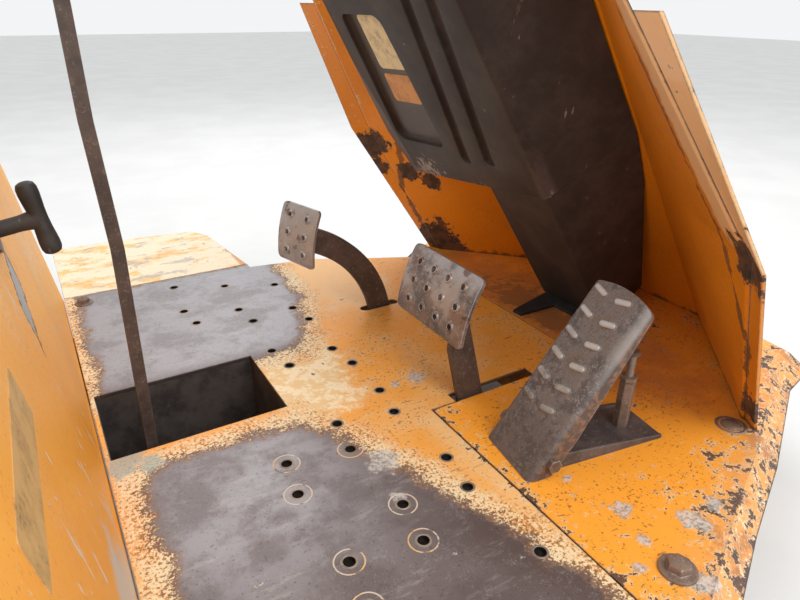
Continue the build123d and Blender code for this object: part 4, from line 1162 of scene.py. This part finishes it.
class PLATFORM_OT_studio(bpy.types.Operator):
    """Sets up the pale floor, soft light and camera"""

    bl_idname = "platform.studio"
    bl_label = "Studio"

    def execute(self, context):
        sizes = context.scene.platform_studio
        scene = context.scene
        scene.view_settings.view_transform = "Standard"
        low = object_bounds()[0]
        bm = bmesh.new()
        bmesh.ops.create_grid(bm, x_segments=1, y_segments=1, size=14,
                              matrix=Matrix.Translation((0, 0, low.z - 0.0005)))
        floor = bpy.data.objects.new("studio_floor", as_mesh("studio_floor", bm))
        scene.collection.objects.link(floor)
        floor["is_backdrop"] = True
        f = Finish("studio_floor", (226, 226, 224), 0.85, rounding=0)
        f.lay((221, 221, 219), f.soft(f.noise(4, 3), 0.35, 0.65))
        give(floor, f.done())
        world = bpy.data.worlds.new("studio_world")
        scene.world = world
        world.use_nodes = True
        sky = Nodes(world.node_tree)
        path = sky.node("LightPath").socket.node
        seen = Shade(sky, path.outputs["Is Camera Ray"])
        for ray in ("Is Glossy Ray", "Is Transmission Ray"):
            seen = seen.most(Shade(sky, path.outputs[ray]))
        strength = sizes.sky + (0.92 - sizes.sky) * seen
        back = sky.node("Background", {}, {"Color": (0.97, 0.985, 1), "Strength": strength})
        sky.node("OutputWorld", {}, {"Surface": back})
        for name, place, power, size in (
                ("key_lamp", Vector((0.6, -2.4, 2.7)), sizes.key, 2.4),
                ("fill_lamp", Vector((1, 1.9, 2.5)), sizes.fill, 2.2)):
            lamp = bpy.data.lights.new(name, "AREA")
            lamp.energy = power
            lamp.size = size
            obj = bpy.data.objects.new(name, lamp)
            obj.location = place
            obj.rotation_mode = "QUATERNION"
            obj.rotation_quaternion = (deck(450, 0) - place).to_track_quat("-Z", "Y")
            scene.collection.objects.link(obj)
        place_camera(sizes.lens)
        return {"FINISHED"}


def place_camera(lens):
    """The photograph's camera: heading 31 degrees right of the row, 25.6 down."""
    camera = bpy.data.cameras.new("camera")
    camera.sensor_width = 36
    camera.lens = lens
    camera.clip_start = 0.01
    obj = bpy.data.objects.new("camera", camera)
    obj.matrix_world = Matrix.Translation(deck(0, -715, 500))
    for turn, axis in ((-31.0235, "Z"), (90 - 25.6446, "X"), (0.6527, "Z")):
        obj.matrix_world @= Matrix.Rotation(radians(turn), 4, axis)
    bpy.context.scene.collection.objects.link(obj)
    bpy.context.scene.camera = obj


class PLATFORM_PT_panel(bpy.types.Panel):
    """Lists the platform's steps and sizes in the sidebar"""

    bl_idname = "PLATFORM_PT_panel"
    bl_label = "Driver's platform"
    bl_space_type = "VIEW_3D"
    bl_region_type = "UI"
    bl_category = "Platform"

    def draw(self, context):
        for step in STEPS:
            self.layout.operator(step.bl_idname)
        for group in GROUPS:
            box = self.layout.box()
            box.label(text=group[1].__doc__)
            for prop in group[1].__annotations__:
                box.prop(getattr(context.scene, group[0]), prop)


STEPS = [PLATFORM_OT_finishes, PLATFORM_OT_hole_rims, PLATFORM_OT_bolts, PLATFORM_OT_console,
         PLATFORM_OT_dash, PLATFORM_OT_latch, PLATFORM_OT_stop_screw, PLATFORM_OT_wheel,
         PLATFORM_OT_seat_box, PLATFORM_OT_welds, PLATFORM_OT_studio]
GROUPS = [("platform_paint", PaintSettings), ("platform_deck", DeckSettings),
          ("platform_console", ConsoleSettings), ("platform_studio", StudioSettings)]


def register():
    for name, group in GROUPS:
        bpy.utils.register_class(group)
        setattr(bpy.types.Scene, name, PointerProperty(type=group))
    for step in STEPS:
        bpy.utils.register_class(step)
    bpy.utils.register_class(PLATFORM_PT_panel)


def unregister():
    bpy.utils.unregister_class(PLATFORM_PT_panel)
    for step in reversed(STEPS):
        bpy.utils.unregister_class(step)
    for name, group in reversed(GROUPS):
        delattr(bpy.types.Scene, name)
        bpy.utils.unregister_class(group)


def main():
    register()
    for step in STEPS:
        area, action = step.bl_idname.split(".")
        getattr(getattr(bpy.ops, area), action)()


if __name__ == "__main__":
    main()
